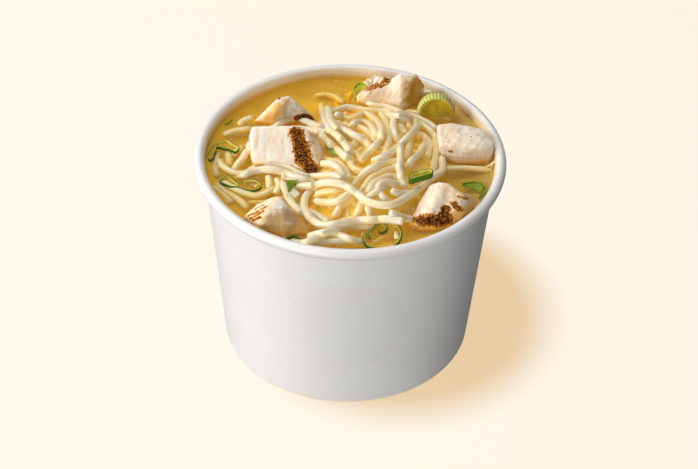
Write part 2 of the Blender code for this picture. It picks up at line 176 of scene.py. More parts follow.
def distance_to_run(spot: Vector, run: np.ndarray) -> float:
    """Returns how far a flat spot is from the nearest of a run's points."""
    return float(np.min(np.hypot(run[:, 0] - spot.x, run[:, 1] - spot.y)))


def share_out(points: Sequence[Place], step: float, count: int) -> np.ndarray:
    """Spaces a number of points evenly along a smooth curve.

    Args:
        points: The points that the curve goes through.
        step: How finely the curve is drawn.
        count: How many points it gets.

    Returns:
        One row for each point.
    """
    known = smooth_run(points, step)
    spaced = np.linspace(0, len(known) - 1, count)
    return np.stack([np.interp(spaced, range(len(known)), known[:, k]) for k in (0, 1)], axis=1)


def bearing(angle: float) -> Vector:
    """Returns the flat direction at an angle from +X."""
    return Vector((math.cos(angle), math.sin(angle), 0))


def roughness_at(point: Vector, scale: float, finer: float, share: float) -> float:
    """Returns a noise at a point, with a share of a finer noise on it."""
    return noise.noise(point * scale) + share * noise.noise(point * finer)


# Operators


def pick(obj: Piece) -> None:
    """Selects one object alone and makes it active.

    Args:
        obj: The object.
    """
    if bpy.context.object and bpy.context.object.mode != "OBJECT":
        bpy.ops.object.mode_set(mode="OBJECT")
    bpy.ops.object.select_all(action="DESELECT")
    obj.select_set(True)
    bpy.context.view_layer.objects.active = obj


def edit(obj: Piece, everything: bool = True) -> None:
    """Opens an object for editing.

    Args:
        obj: The object.
        everything: Whether all of its mesh is selected, or none of it.
    """
    pick(obj)
    bpy.ops.object.mode_set(mode="EDIT")
    bpy.ops.mesh.select_mode(type="VERT")
    bpy.ops.mesh.select_all(action="SELECT" if everything else "DESELECT")


def close_edit() -> None:
    """Ends the editing of a mesh."""
    bpy.ops.object.mode_set(mode="OBJECT")


def select_faces(obj: Piece, test: Callable[[bpy.types.MeshPolygon], bool]) -> None:
    """Opens an object for editing with some of its faces selected.

    Args:
        obj: The object.
        test: What a face has to pass to be selected.
    """
    edit(obj, everything=False)
    bpy.ops.mesh.select_mode(type="FACE")
    bpy.ops.object.mode_set(mode="OBJECT")
    for face in obj.data.polygons:
        face.select = test(face)
    bpy.ops.object.mode_set(mode="EDIT")


def picked_middle(obj: Piece) -> Vector:
    """Finds the middle of the points that are selected in an open mesh.

    Args:
        obj: The object.

    Returns:
        The middle.
    """
    obj.update_from_editmode()
    picked = [vertex.co for vertex in obj.data.vertices if vertex.select]
    return sum(picked, Vector()) / len(picked)


def name_piece(obj: Piece, name: str) -> Piece:
    """Names an object and its mesh.

    Args:
        obj: The object.
        name: Its name.

    Returns:
        The object.
    """
    obj.name = name
    obj.data.name = name
    return obj


def apply_modifier(obj: Piece, kind: str, **settings: object) -> None:
    """Adds a modifier, sets it and applies it.

    Args:
        obj: The object.
        kind: The modifier's type.
        **settings: What to set on it.
    """
    pick(obj)
    modifier = obj.modifiers.new(kind.lower(), kind)
    for setting, value in settings.items():
        setattr(modifier, setting, value)
    bpy.ops.object.modifier_apply(modifier=modifier.name)


def tidy_mesh(obj: Piece, threshold: float = 0.00001) -> None:
    """Merges an object's doubled points and turns its faces outwards.

    Args:
        obj: The object.
        threshold: How near to each other doubled points are, in metres.
    """
    edit(obj)
    bpy.ops.mesh.remove_doubles(threshold=threshold)
    bpy.ops.mesh.normals_make_consistent(inside=False)
    close_edit()


def shade_round(obj: Piece, sharpest: float = 40) -> None:
    """Shades an object round, up to a sharpest turn in degrees."""
    pick(obj)
    bpy.ops.object.shade_smooth_by_angle(angle=math.radians(sharpest))


def join(pieces: Sequence[Piece], name: str) -> Piece:
    """Joins objects into the first of them.

    Args:
        pieces: The objects.
        name: The joined object's name.

    Returns:
        The joined object.
    """
    pick(pieces[0])
    for piece in pieces:
        piece.select_set(True)
    if len(pieces) > 1:
        bpy.ops.object.join()
    return name_piece(pieces[0], name)


def turn_profile(name: str, profile: Sequence[Place], steps: int) -> Piece:
    """Draws a profile by extruding a point along it, and spins it round the tub's axis.

    Args:
        name: The new object's name.
        profile: The profile's points as radius and height, in metres.
        steps: How many steps the turn has.

    Returns:
        The turned object.
    """
    bpy.ops.object.select_all(action="DESELECT")
    start = Vector((profile[0][0], 0, profile[0][1]))
    bpy.ops.mesh.primitive_plane_add(size=MM, location=start)
    obj = name_piece(bpy.context.object, name)
    pick(obj)
    bpy.ops.object.transform_apply(location=True, rotation=True, scale=True)
    edit(obj)
    bpy.ops.mesh.merge(type="CENTER")
    for here, there in zip(profile, profile[1:]):
        move = (there[0] - here[0], 0, there[1] - here[1])
        bpy.ops.mesh.extrude_vertices_move(TRANSFORM_OT_translate={"value": move})
    bpy.ops.mesh.select_all(action="SELECT")
    bpy.ops.mesh.spin(steps=steps, angle=2 * math.pi, center=(0, 0, 0), axis=(0, 0, 1))
    close_edit()
    tidy_mesh(obj)
    return obj


def add_grid(name: str, columns: int, rows: int, place: Callable[[float, float], Vector]) -> Piece:
    """Adds a grid and lays it along a surface.

    Args:
        name: The new object's name.
        columns: How many cells it has across.
        rows: How many cells it has up.
        place: The point for each share across and share up.

    Returns:
        The laid grid.
    """
    bpy.ops.object.select_all(action="DESELECT")
    bpy.ops.mesh.primitive_grid_add(x_subdivisions=columns, y_subdivisions=rows, size=1)
    obj = name_piece(bpy.context.object, name)
    for vertex in obj.data.vertices:
        vertex.co = place(vertex.co.x + 0.5, vertex.co.y + 0.5)
    return obj


def add_disc(name: str, points: int, radius: float, rings: Sequence[float]) -> Piece:
    """Adds a flat disc with rings of faces, and leaves it open for editing.

    Args:
        name: The new object's name.
        points: How many points its edge has.
        radius: Its radius.
        rings: How wide each ring is, from the edge inwards.

    Returns:
        The disc.
    """
    bpy.ops.object.select_all(action="DESELECT")
    bpy.ops.mesh.primitive_circle_add(vertices=points, radius=radius, fill_type="NGON")
    disc = name_piece(bpy.context.object, name)
    select_faces(disc, lambda face: True)
    for width in rings:
        bpy.ops.mesh.inset(thickness=width, depth=0)
    return disc


def add_tube(name: str, points: Sequence[Vector], radii: Sequence[float], sides: int) -> Piece:
    """Adds a path with a round section and makes it a mesh.

    Args:
        name: The new object's name.
        points: The middle of the tube.
        radii: Its radius at each point.
        sides: How many sides its section has, an even number.

    Returns:
        The tube, with closed ends.
    """
    bpy.ops.object.select_all(action="DESELECT")
    bpy.ops.curve.primitive_nurbs_path_add()
    obj = name_piece(bpy.context.object, name)
    curve = obj.data
    curve.splines.clear()
    spline = curve.splines.new("POLY")
    spline.points.add(len(points) - 1)
    for knot, point, radius in zip(spline.points, points, radii):
        knot.co = (*point, 1)
        knot.radius = radius / NOODLE_RADIUS
    curve.dimensions = "3D"
    curve.bevel_depth = NOODLE_RADIUS
    curve.bevel_resolution = sides // 2 - 2
    curve.use_fill_caps = True
    bpy.ops.object.convert(target="MESH")
    return obj


def set_attribute(obj: Piece, name: str, values: Iterable[object], kind: str = "FLOAT") -> None:
    """Stores one value for each of a mesh's points.

    Args:
        obj: The mesh object.
        name: The attribute's name.
        values: The values, in the points' order.
        kind: The attribute's data type.
    """
    made = obj.data.attributes.new(name, kind, "POINT")
    field_name = "vector" if kind == "FLOAT_VECTOR" else "value"
    made.data.foreach_set(field_name, np.array(list(values), np.float32).ravel())


class Slot(Enum):
    """The record's material slots."""

    PAPER = "paper"
    BROTH = "broth"
    NOODLES = "noodles"
    CHICKEN = "chicken"
    SCALLION = "scallion"


def dress(obj: Piece, finish: Material, slot: Slot, *nodes: str) -> None:
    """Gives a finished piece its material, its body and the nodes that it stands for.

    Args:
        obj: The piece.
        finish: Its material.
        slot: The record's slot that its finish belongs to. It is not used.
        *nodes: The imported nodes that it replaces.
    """
    obj.data.materials.clear()
    obj.data.materials.append(finish)
    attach(obj, "root")
    if nodes:
        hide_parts(*nodes)
    LOG.info("%s: %d faces", obj.name, len(obj.data.polygons))


# Finishes


class Wiring:
    """The nodes of one new material."""

    def __init__(self, name: str) -> None:
        """Starts a material that holds one shader.

        Args:
            name: The material's name.
        """
        self.material = bpy.data.materials.new(name)
        self.material.use_nodes = True
        self.tree = self.material.node_tree
        self.shader = self.tree.nodes["Principled BSDF"]
        self.output = self.tree.nodes["Material Output"]
        self.place = self.add("ShaderNodeTexCoord").outputs["Object"]

    def add(self, kind: str, inputs: dict | None = None, **settings: object) -> bpy.types.Node:
        """Adds a node.

        Args:
            kind: The node's type.
            inputs: What goes into its sockets: values, or the sockets that feed them.
            **settings: What to set on the node itself.

        Returns:
            The node.
        """
        made = self.tree.nodes.new(kind)
        for name, value in settings.items():
            setattr(made, name, value)
        self.feed(made, inputs or {})
        return made

    def feed(self, node: bpy.types.Node, inputs: dict) -> None:
        """Sets a node's sockets or links them.

        Args:
            node: The node.
            inputs: What goes into its sockets, by name or by number.
        """
        for name, value in inputs.items():
            if isinstance(value, Socket):
                self.tree.links.new(value, node.inputs[name])
            else:
                is_colour = isinstance(value, tuple) and len(value) == 3
                node.inputs[name].default_value = (*value, 1) if is_colour else value

    def surface(self, inputs: dict) -> None:
        """Sets or links the shader's own sockets."""
        self.feed(self.shader, inputs)

    def noise(self, scale: float, detail: float = 2, place: Socket | None = None) -> Socket:
        """Returns the strength of a noise with so many lumps in a metre."""
        inputs = {"Vector": place or self.place, "Scale": scale, "Detail": detail}
        return self.add("ShaderNodeTexNoise", inputs).outputs["Fac"]

    def attribute(self, name: str, output: str = "Fac") -> Socket:
        """Returns what a mesh's attribute says."""
        return self.add("ShaderNodeAttribute", attribute_name=name).outputs[output]

    def ramp(self, factor: Socket, *stops: tuple[float, Colour]) -> Socket:
        """Turns a strength into a colour.

        Args:
            factor: The strength.
            *stops: Each position with its colour, from low to high.

        Returns:
            The colour.
        """
        made = self.add("ShaderNodeValToRGB", {"Fac": factor})
        elements = made.color_ramp.elements
        while len(elements) < len(stops):
            elements.new(0.5)
        for element, (position, colour) in zip(elements, stops):
            element.position = position
            element.color = (*colour, 1)
        return made.outputs["Color"]

    def spread(self, value: Socket, low: float, high: float, start: float = 0, end: float = 1) -> Socket:
        """Maps a value's range from low to high onto the range from start to end, and keeps it there."""
        inputs = {"Value": value, "From Min": low, "From Max": high, "To Min": start, "To Max": end}
        return self.add("ShaderNodeMapRange", inputs).outputs["Result"]

    def mix(self, factor: object, low: object, high: object, blend: str = "MIX") -> Socket:
        """Mixes two colours.

        Args:
            factor: How much of the second there is.
            low: The first colour or socket.
            high: The second colour or socket.
            blend: How the second goes on the first.

        Returns:
            The mixed colour.
        """
        made = self.add("ShaderNodeMix", data_type="RGBA", blend_type=blend)
        self.feed(made, {0: factor, 6: low, 7: high})
        return made.outputs[2]

    def math(self, operation: str, first: object, second: object) -> Socket:
        """Returns the result of one sum on two values."""
        return self.add("ShaderNodeMath", {0: first, 1: second}, operation=operation).outputs[0]

    def bump(self, height: Socket, depth: float, strength: float = 1.0) -> None:
        """Roughens the surface.

        Args:
            height: The relief, from 0 to 1.
            depth: How deep it is, in metres.
            strength: How much of it shows.
        """
        bump = self.add("ShaderNodeBump", {"Height": height, "Distance": depth, "Strength": strength})
        self.surface({"Normal": bump.outputs["Normal"]})


@dataclass(frozen=True)
class PaperFinish:
    """Smooth white coated paper, with the few stains that the soup left on it.

    It reads the piece's attribute inside, which is 1 where the paper looks inwards, and there paints the paper beige as
    painted shade and painted broth-coloured bounce light.
    """

    white: Colour = (0.87, 0.865, 0.855)
    shade: Colour = (0.83, 0.82, 0.80)
    roughness: float = 0.42
    coat: float = 0.12
    # The inside's beige: painted shade and painted broth-coloured bounce light.
    broth_tint_and_shade: Colour = (0.88, 0.75, 0.55)
    stain: Colour = (0.76, 0.55, 0.27)
    drips: tuple[tuple[Place, float, float], ...] = (
        ((-56.6, -12.5), 79.6, 1.5), ((-56.9, -10.4), 78.6, 1.1), ((9.5, -55.5), 77.2, 0.9), ((-2.5, -56.2), 77.4, 0.7),
    )

    def material(self) -> Material:
        """Mottles the paper, paints shade and broth-coloured bounce light onto its inside, and stains it.

        Returns:
            The material.
        """
        wires = Wiring("white paper")
        mottle = wires.ramp(wires.noise(60, 3), (0.35, self.shade), (0.65, self.white))
        colour = wires.mix(0.6, self.white, mottle)
        uneven = wires.math("MULTIPLY", wires.noise(200), 0.3)
        inside = wires.math("ADD", wires.attribute("inside"), uneven)
        # Painted shade and broth-coloured bounce light on the paper that looks inwards.
        colour = wires.mix(wires.spread(inside, 0.45, 0.95), colour, self.broth_tint_and_shade)
        for (x, y), height, size in self.drips:
            spot = {0: wires.place, 1: Vector((x, y, height)) * MM}
            near = wires.add("ShaderNodeVectorMath", spot, operation="DISTANCE").outputs["Value"]
            edge = wires.math("MULTIPLY", wires.noise(900), 1.2 * size * MM)
            mask = wires.spread(wires.math("ADD", near, edge), 1.9 * size * MM, 0.7 * size * MM)
            colour = wires.mix(wires.math("MULTIPLY", mask, 0.7), colour, self.stain)
        wires.surface({"Base Color": colour, "Roughness": self.roughness, "Specular IOR Level": 0.4})
        wires.surface({"Coat Weight": self.coat, "Coat Roughness": 0.25})
        wires.bump(wires.noise(1500, 4), 0.00004, 0.5)
        return wires.material


@dataclass(frozen=True)
class NoodleFinish:
    """Wet wheat noodle, golden low in the heap, partly from the broth held there and partly as painted warm shade, with
    a painted glow.
    """

    pale: Colour = (0.745, 0.705, 0.59)
    deep: Colour = (0.79, 0.665, 0.405)
    # Golden low in the heap: partly the held broth, partly painted warm shade in the gaps.
    broth_and_warm_shade: Colour = (0.95, 0.66, 0.13)
    # Painted glow: an emission that fills the noodles' shade with warm light.
    painted_glow: Colour = (0.088, 0.060, 0.018)
    roughness: float = 0.26
    coat: float = 0.3
    translucency: float = 0.5

    def material(self) -> Material:
        """Mottles the noodle, paints it golden low in the heap as held broth and warm shade, and gives it a painted
        glow.

        Returns:
            The material.
        """
        wires = Wiring("wet noodle")
        colour = wires.ramp(wires.noise(220, 4), (0.36, self.deep), (0.62, self.pale))
        # Painted warm shade, partly held broth, on the low parts of the strands.
        colour = wires.mix(wires.attribute("broth_and_warm_shade"), colour, self.broth_and_warm_shade)
        wires.surface({"Base Color": colour, "Roughness": self.roughness, "IOR": 1.42})
        wires.surface({"Subsurface Weight": self.translucency, "Subsurface Scale": 0.0016})
        wires.surface({"Subsurface Radius": Vector((1.0, 0.75, 0.35))})
        # Painted glow.
        wires.surface({"Emission Color": self.painted_glow, "Emission Strength": 1.0})
        wires.surface({"Coat Weight": self.coat, "Coat Roughness": 0.1})
        wires.bump(wires.noise(1100, 4), 0.0001, 0.45)
        return wires.material


@dataclass(frozen=True)
class HeldBrothFinish:
    """Broth held between the strands and down in the tub, where it is too deep to see through.

    Its own faint glow is a painted glow for the light that cloudy broth passes on, and its right side is darkened with
    painted shade.
    """

    name: str
    light: Colour
    dark: Colour
    # Painted shade: darker and olive towards the right.
    painted_right_shade: Colour = (0.62, 0.59, 0.74)
    edge: Colour = (0.90, 0.73, 0.22)
    edging: float = 0.0
    # Painted glow, for the light that cloudy broth passes on.
    painted_glow: float = 0.14
    roughness: float = 0.2
    # Where the painted shade starts and where it is full, along X.
    right_side: Place = (12 * MM, 46 * MM)
    wall_side: Place = (-5.0 * MM, -2.4 * MM)
    unedged: Place = (20 * MM, 44 * MM)

    def material(self) -> Material:
        """Clouds the broth, with painted shade darkening it to an olive cast towards the right, a golden edge along the
        wall, and a painted glow.

        Returns:
            The material.
        """
        wires = Wiring(self.name)
        colour = wires.ramp(wires.noise(130, 3), (0.35, self.dark), (0.65, self.light))
        place = wires.add("ShaderNodeSeparateXYZ", {0: wires.place}).outputs
        # Painted shade, darkening the broth towards the right.
        colour = wires.mix(wires.spread(place["X"], *self.right_side), colour, self.painted_right_shade, "MULTIPLY")
        low, high = (BROTH_LEVEL + depth for depth in self.wall_side)
        near_wall = wires.spread(place["Z"], low, high, 0, self.edging)
        edged = wires.math("MULTIPLY", near_wall, wires.spread(place["X"], *self.unedged, 1, 0))
        colour = wires.mix(edged, colour, self.edge, "MULTIPLY")
        wires.surface({"Base Color": colour, "Roughness": self.roughness, "Specular IOR Level": 0.3})
        # Painted glow in the broth's own colour.
        wires.surface({"Emission Color": colour, "Emission Strength": self.painted_glow})
        wires.bump(wires.noise(500, 2), 0.0003, 0.4)
        return wires.material


@dataclass(frozen=True)
class BrothFinish:
    """Clear golden broth, which light goes into and colours."""

    tint: Colour = (0.976, 0.872, 0.25)
    density: float = 285.0
    roughness: float = 0.03

    def material(self) -> Material:
        """Makes the broth clear to light and shadow, and colours the light that goes through it.

        Returns:
            The material.
        """
        wires = Wiring("golden broth")
        wires.surface({"Base Color": (1, 1, 1), "Roughness": self.roughness, "IOR": 1.33, "Transmission Weight": 1.0})
        wires.bump(wires.noise(260, 2), 0.0002, 0.12)
        clear = wires.add("ShaderNodeBsdfTransparent", {"Color": (1, 1, 1)})
        shadow = wires.add("ShaderNodeLightPath").outputs["Is Shadow Ray"]
        both = wires.add("ShaderNodeMixShader", {0: shadow, 1: wires.shader.outputs[0], 2: clear.outputs[0]})
        broth_tint_and_shade = wires.add("ShaderNodeVolumeAbsorption", {"Color": self.tint, "Density": self.density})
        wires.feed(wires.output, {"Surface": both.outputs[0], "Volume": broth_tint_and_shade.outputs[0]})
        return wires.material


@dataclass(frozen=True)
class ChickenFinish:
    """Cooked chicken with fine fibres and seared sides.

    It reads the piece's attributes: meat, the place along its fibres; sear, how seared it is; tan, how golden; and
    soak, how brown it is, partly from broth soaked in and partly as painted shade on faces turned from the light.
    """

    pale: Colour = (0.98, 0.91, 0.81)
    pink: Colour = (0.97, 0.82, 0.68)
    fibre: Colour = (0.90, 0.70, 0.49)
    golden: Colour = (0.95, 0.58, 0.15)
    # Brown for soaked-in broth and for painted shade on faces turned from the light.
    broth_tint_and_shade: Colour = (0.46, 0.23, 0.02)
    amber: Colour = (0.60, 0.25, 0.02)
    rust: Colour = (0.27, 0.08, 0.008)
    black: Colour = (0.03, 0.01, 0.003)
    wetness: float = 0.75
    wet_heights: Place = (3.6 * MM, 1.0 * MM)
    roughness: float = 0.42
    translucency: float = 0.3

    def material(self) -> Material:
        """Lays the fibres, the golden strokes, the brown strokes of soaked broth and painted shade, the wet foot and
        the burnt grit over one another.

        Returns:
            The material.
        """
        wires = Wiring("seared chicken")
        fibres = wires.noise(620, 3, wires.attribute("meat", "Vector"))
        colour = wires.ramp(wires.noise(90, 3), (0.36, self.pink), (0.58, self.pale))
        lines = wires.ramp(fibres, (0.40, self.fibre), (0.56, (1.0, 1.0, 1.0)))
        colour = wires.mix(0.4, colour, lines, "MULTIPLY")
        colour = wires.mix(wires.attribute("tan"), colour, self.golden)
        # Painted shade on faces turned from the light, partly soaked broth.
        colour = wires.mix(wires.attribute("shade_and_soak"), colour, self.broth_tint_and_shade)
        height = wires.add("ShaderNodeSeparateXYZ", {0: wires.place}).outputs["Z"]
        uneven = wires.math("ADD", height, wires.math("MULTIPLY", wires.noise(260), 2.4 * MM))
        dry, wet = (BROTH_LEVEL + height for height in self.wet_heights)
        colour = wires.mix(wires.spread(uneven, dry, wet, 0, self.wetness), colour, self.golden)
        grit = wires.noise(1400, 2)
        sear = wires.attribute("sear")
        grains = wires.math("MULTIPLY", wires.spread(grit, 0.32, 0.68, -0.5, 0.5), wires.spread(sear, 0.02, 0.3))
        burnt = wires.math("ADD", sear, grains)
        edge = wires.math("ADD", sear, wires.math("MULTIPLY", grains, 0.4))
        colour = wires.mix(wires.spread(edge, 0.15, 0.4), colour, self.amber)
        colour = wires.mix(wires.spread(burnt, 0.42, 0.7), colour, self.rust)
        colour = wires.mix(wires.spread(burnt, 0.82, 1.15), colour, self.black)
        wires.surface({"Base Color": colour, "Roughness": self.roughness, "IOR": 1.42})
        wires.surface({"Subsurface Weight": self.translucency, "Subsurface Scale": 0.0016})
        wires.surface({"Subsurface Radius": Vector((1.0, 0.5, 0.25))})
        wires.surface({"Coat Weight": wires.spread(sear, 0.0, 0.5, 0.2, 0.03), "Coat Roughness": 0.2})
        wires.surface({"Specular IOR Level": wires.spread(sear, 0.0, 0.5, 0.5, 0.15)})
        relief = wires.math("ADD", wires.math("MULTIPLY", fibres, 0.7), wires.math("MULTIPLY", grit, 0.5))
        wires.bump(relief, 0.0004, 0.6)
        return wires.material


@dataclass(frozen=True)
class ScallionFinish:
    """Cut scallion leaf. The attribute skin is 1 on the outer skin, 0.2 inside and 0 on white flesh."""

    name: str = "scallion leaf"
    skin: Colour = (0.075, 0.15, 0.002)
    flesh: Colour = (0.28, 0.42, 0.012)
    inside: Colour = (0.74, 0.68, 0.08)
    white: Colour = (0.86, 0.82, 0.62)
    roughness: float = 0.3
    coat: float = 0.1
    translucency: float = 0.15

    def material(self) -> Material:
        """Colours the leaf from its white flesh to its dark skin.

        Returns:
            The material.
        """
        wires = Wiring(self.name)
        skin = wires.attribute("skin")
        patchy = wires.math("ADD", skin, wires.spread(wires.noise(420, 3), 0.3, 0.7, -0.1, 0.1))
        colour = wires.ramp(patchy, (0.08, self.white), (0.22, self.inside), (0.5, self.flesh), (0.78, self.skin))
        wires.surface({"Base Color": colour, "Roughness": self.roughness, "IOR": 1.4, "Specular IOR Level": 0.25})
        wires.surface({"Subsurface Weight": self.translucency, "Subsurface Scale": 0.0006})
        wires.surface({"Coat Weight": self.coat, "Coat Roughness": 0.1})
        wires.bump(wires.noise(1300, 3), 0.0001, 0.5)
        return wires.material


@dataclass(frozen=True)
class StemFinish:
    """The ribbed stem: white ribs on pale green, browner to the right, and an olive cut face.

    It reads the piece's attributes: rib, brown and cut.
    """

    rib: Colour = (0.79, 0.76, 0.33)
    groove: Colour = (0.41, 0.47, 0.02)
    brown: Colour = (0.50, 0.30, 0.03)
    cut: Colour = (0.52, 0.37, 0.004)
    cut_shade: Colour = (0.36, 0.24, 0.001)
    roughness: float = 0.3
    coat: float = 0.1
    translucency: float = 0.2

    def material(self) -> Material:
        """Colours the ribs, the brown side and the cut face.

        Returns:
            The material.
        """
        wires = Wiring("scallion stem")
        outer = wires.ramp(wires.attribute("rib"), (0.2, self.groove), (0.7, self.rib))
        outer = wires.mix(wires.attribute("brown"), outer, self.brown)
        cut = wires.ramp(wires.noise(300, 3), (0.35, self.cut_shade), (0.65, self.cut))
        colour = wires.mix(wires.attribute("cut"), outer, cut)
        wires.surface({"Base Color": colour, "Roughness": self.roughness, "Specular IOR Level": 0.3})
        wires.surface({"Coat Weight": self.coat, "Coat Roughness": 0.12})
        wires.surface({"Subsurface Weight": self.translucency, "Subsurface Scale": 0.001})
        wires.bump(wires.noise(1100, 3), 0.0001, 0.5)
        return wires.material


@dataclass(frozen=True)
class FilmFinish:
    """Clear film: the blank sticker, and the skin of the bubbles."""

    name: str
    colour: Colour
    alpha: float
    roughness: float
    waver: float = 0.5

    def material(self) -> Material:
        """Makes the film, with a waver in it where it has one.

        Returns:
            The material.
        """
        wires = Wiring(self.name)
        wires.surface({"Base Color": self.colour, "Alpha": self.alpha, "Roughness": self.roughness})
        if self.waver:
            wires.bump(wires.noise(700, 2), 0.00003, self.waver)
        return wires.material


@dataclass(frozen=True)
class FloorFinish:
    """The pale surface that the tub stands on. Its own glow is what is left in the tub's warm shadow."""

    painted_glow: Colour = (0.80, 0.595, 0.355)
    lit: Colour = (0.0475, 0.0775, 0.11)

    def material(self) -> Material:
        """Makes the floor dull and faintly glowing.

        Returns:
            The material.
        """
        wires = Wiring("pale floor")
        wires.surface({"Base Color": self.lit, "Roughness": 0.9, "Specular IOR Level": 0.0})
        wires.surface({"Emission Color": self.painted_glow, "Emission Strength": 1.0})
        return wires.material


# The tub


@dataclass
class Tub:
    """The paper tub: its turned wall and rolled rim, its side seam, and the blank sticker on its front."""

    turn_steps: int = 180
    roll_steps: int = 22
    crease: float = math.radians(-136)
    foot_edge: float = 0.4 * MM
    seam_azimuth: float = math.radians(78)
    seam_width: float = 7.0 * MM
    seam_rise: float = 0.3 * MM
    seam_sink: float = 0.04 * MM
    seam_margins: Place = (1.0 * MM, 1.7 * MM)
    sticker_radius: float = 22.0 * MM
    sticker_height: float = 41.0 * MM
    sticker_azimuth: float = math.radians(-90)
    sticker_rings: tuple[float, ...] = (0.5 * MM, *[2.4 * MM] * 8)
    sticker_lift: float = 0.1 * MM
    film: float = 0.08 * MM
    paper: PaperFinish = field(default_factory=PaperFinish)

    def outside(self, height: float) -> float:
        """Returns the wall's outer radius at a height."""
        under_roll = ROLL_CENTRE.x + ROLL_RADIUS * math.cos(self.crease)
        return FOOT_RADIUS + (under_roll - FOOT_RADIUS) * (height / ROLL_CENTRE.z)

    def build_wall(self) -> Piece:
        """Turns the wall, from the rolled rim down to the folded foot.

        Returns:
            Its mesh, marked where it faces inwards.
        """
        sweep = np.linspace(math.pi, self.crease, self.roll_steps + 1)
        roll = [
            (ROLL_CENTRE.x + ROLL_RADIUS * math.cos(a), ROLL_CENTRE.z + ROLL_RADIUS * math.sin(a)) for a in sweep
        ]
        crease_radius, crease_height = roll[-1]
        slope = (FOOT_RADIUS - crease_radius) / (crease_height - self.foot_edge)
        down = np.linspace(crease_height, self.foot_edge, 12)[1:]
        outer = [(crease_radius + slope * (crease_height - z), z) for z in down]
        foot = [
            (FOOT_RADIUS - self.foot_edge, 0),
            (FOLD_INSIDE, 0),
            (FOLD_INSIDE, FOLD_HEIGHT),
            (FOLD_OUTSIDE, FOLD_HEIGHT),
            (FOLD_OUTSIDE, FOLD_BASE),
            (wall_radius(FOLD_BASE), FOLD_BASE),
        ]
        inner = [(wall_radius(z), z) for z in np.linspace(FOLD_BASE, ROLL_CENTRE.z, 8)[1:]]
        wall = turn_profile("Tub_wall", roll + outer + foot + inner, self.turn_steps)
        shade_round(wall, 35)
        inward = [-vertex.normal.xy.dot(vertex.co.xy.normalized()) for vertex in wall.data.vertices]
        # Marks the inward-facing paper, which the paper's finish paints with shade and broth-coloured bounce light.
        set_attribute(wall, "inside", [smooth_step(way, 0.1, 0.95) for way in inward])
        return wall

    def on_wall(self, azimuth: float, height: float, lift: float) -> Vector:
        """Returns the point on the outer wall at an azimuth and height, lifted off it."""
        radius = self.outside(height) + lift
        return Vector((radius * math.cos(azimuth), radius * math.sin(azimuth), height))

    def build_seam(self) -> Piece:
        """Lays the lapped edge of the wall's paper along the back.

        Returns:
            Its mesh.
        """
        low, high = self.seam_margins[0], ROLL_CENTRE.z - self.seam_margins[1]

        def place(across: float, up: float) -> Vector:
            """Finds a point of the seam.

            Args:
                across: The share across it.
                up: The share up it.

            Returns:
                The point.
            """
            height = low + (high - low) * up
            turn = self.seam_width * (across - 0.5) / self.outside(height)
            lift = self.seam_rise * smooth_step(across, 0.0, 0.06) * (1 - smooth_step(across, 0.75, 1.0))
            return self.on_wall(self.seam_azimuth + turn, height, lift - self.seam_sink)

        seam = add_grid("Tub_seam", 24, 20, place)
        apply_modifier(seam, "SOLIDIFY", thickness=self.seam_rise, offset=-1)
        tidy_mesh(seam)
        shade_round(seam)
        return seam

    def build_sticker(self) -> Piece:
        """Bends the blank round sticker onto the front of the wall.

        Returns:
            Its mesh.
        """
        sticker = add_disc("Blank_sticker", 96, self.sticker_radius, self.sticker_rings)
        close_edit()
        for vertex in sticker.data.vertices:
            height = self.sticker_height + vertex.co.y
            turn = vertex.co.x / self.outside(height)
            vertex.co = self.on_wall(self.sticker_azimuth + turn, height, self.sticker_lift)
        apply_modifier(sticker, "SOLIDIFY", thickness=self.film, offset=1)
        tidy_mesh(sticker)
        shade_round(sticker)
        return sticker

    def build(self) -> None:
        """Makes the tub."""
        paper = self.paper.material()
        dress(self.build_wall(), paper, Slot.PAPER, "tub_wall")
        dress(self.build_seam(), paper, Slot.PAPER)
        film = FilmFinish("clear sticker", (0.93, 0.925, 0.91), 0.05, 0.35, 0.0)
        dress(self.build_sticker(), film.material(), Slot.PAPER)
        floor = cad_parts["tub_floor"]
        floor.data.materials.clear()
        floor.data.materials.append(paper)


# Chicken


@dataclass(frozen=True)
class Stroke:
    """A stroke of colour on a chunk.

    Attributes:
        run: Its middle, as places seen on the broth, in millimetres.
        reach: How far it reaches from its middle, in millimetres.
        strength: How strong it is, up to 1.
    """

    run: Run
    reach: float
    strength: float = 1.0


@dataclass(frozen=True)
class Chunk:
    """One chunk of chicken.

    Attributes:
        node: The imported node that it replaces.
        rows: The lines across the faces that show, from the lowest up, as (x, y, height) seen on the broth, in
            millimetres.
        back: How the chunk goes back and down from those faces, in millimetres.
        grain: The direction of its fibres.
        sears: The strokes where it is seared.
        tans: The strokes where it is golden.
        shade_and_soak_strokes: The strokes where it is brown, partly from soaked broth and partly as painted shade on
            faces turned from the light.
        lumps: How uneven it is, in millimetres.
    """

    node: str
    rows: tuple[tuple[Spot, ...], ...]
    back: Spot
    grain: Spot
    sears: tuple[Stroke, ...] = ()
    tans: tuple[Stroke, ...] = ()
    shade_and_soak_strokes: tuple[Stroke, ...] = ()
    lumps: float = 0.35


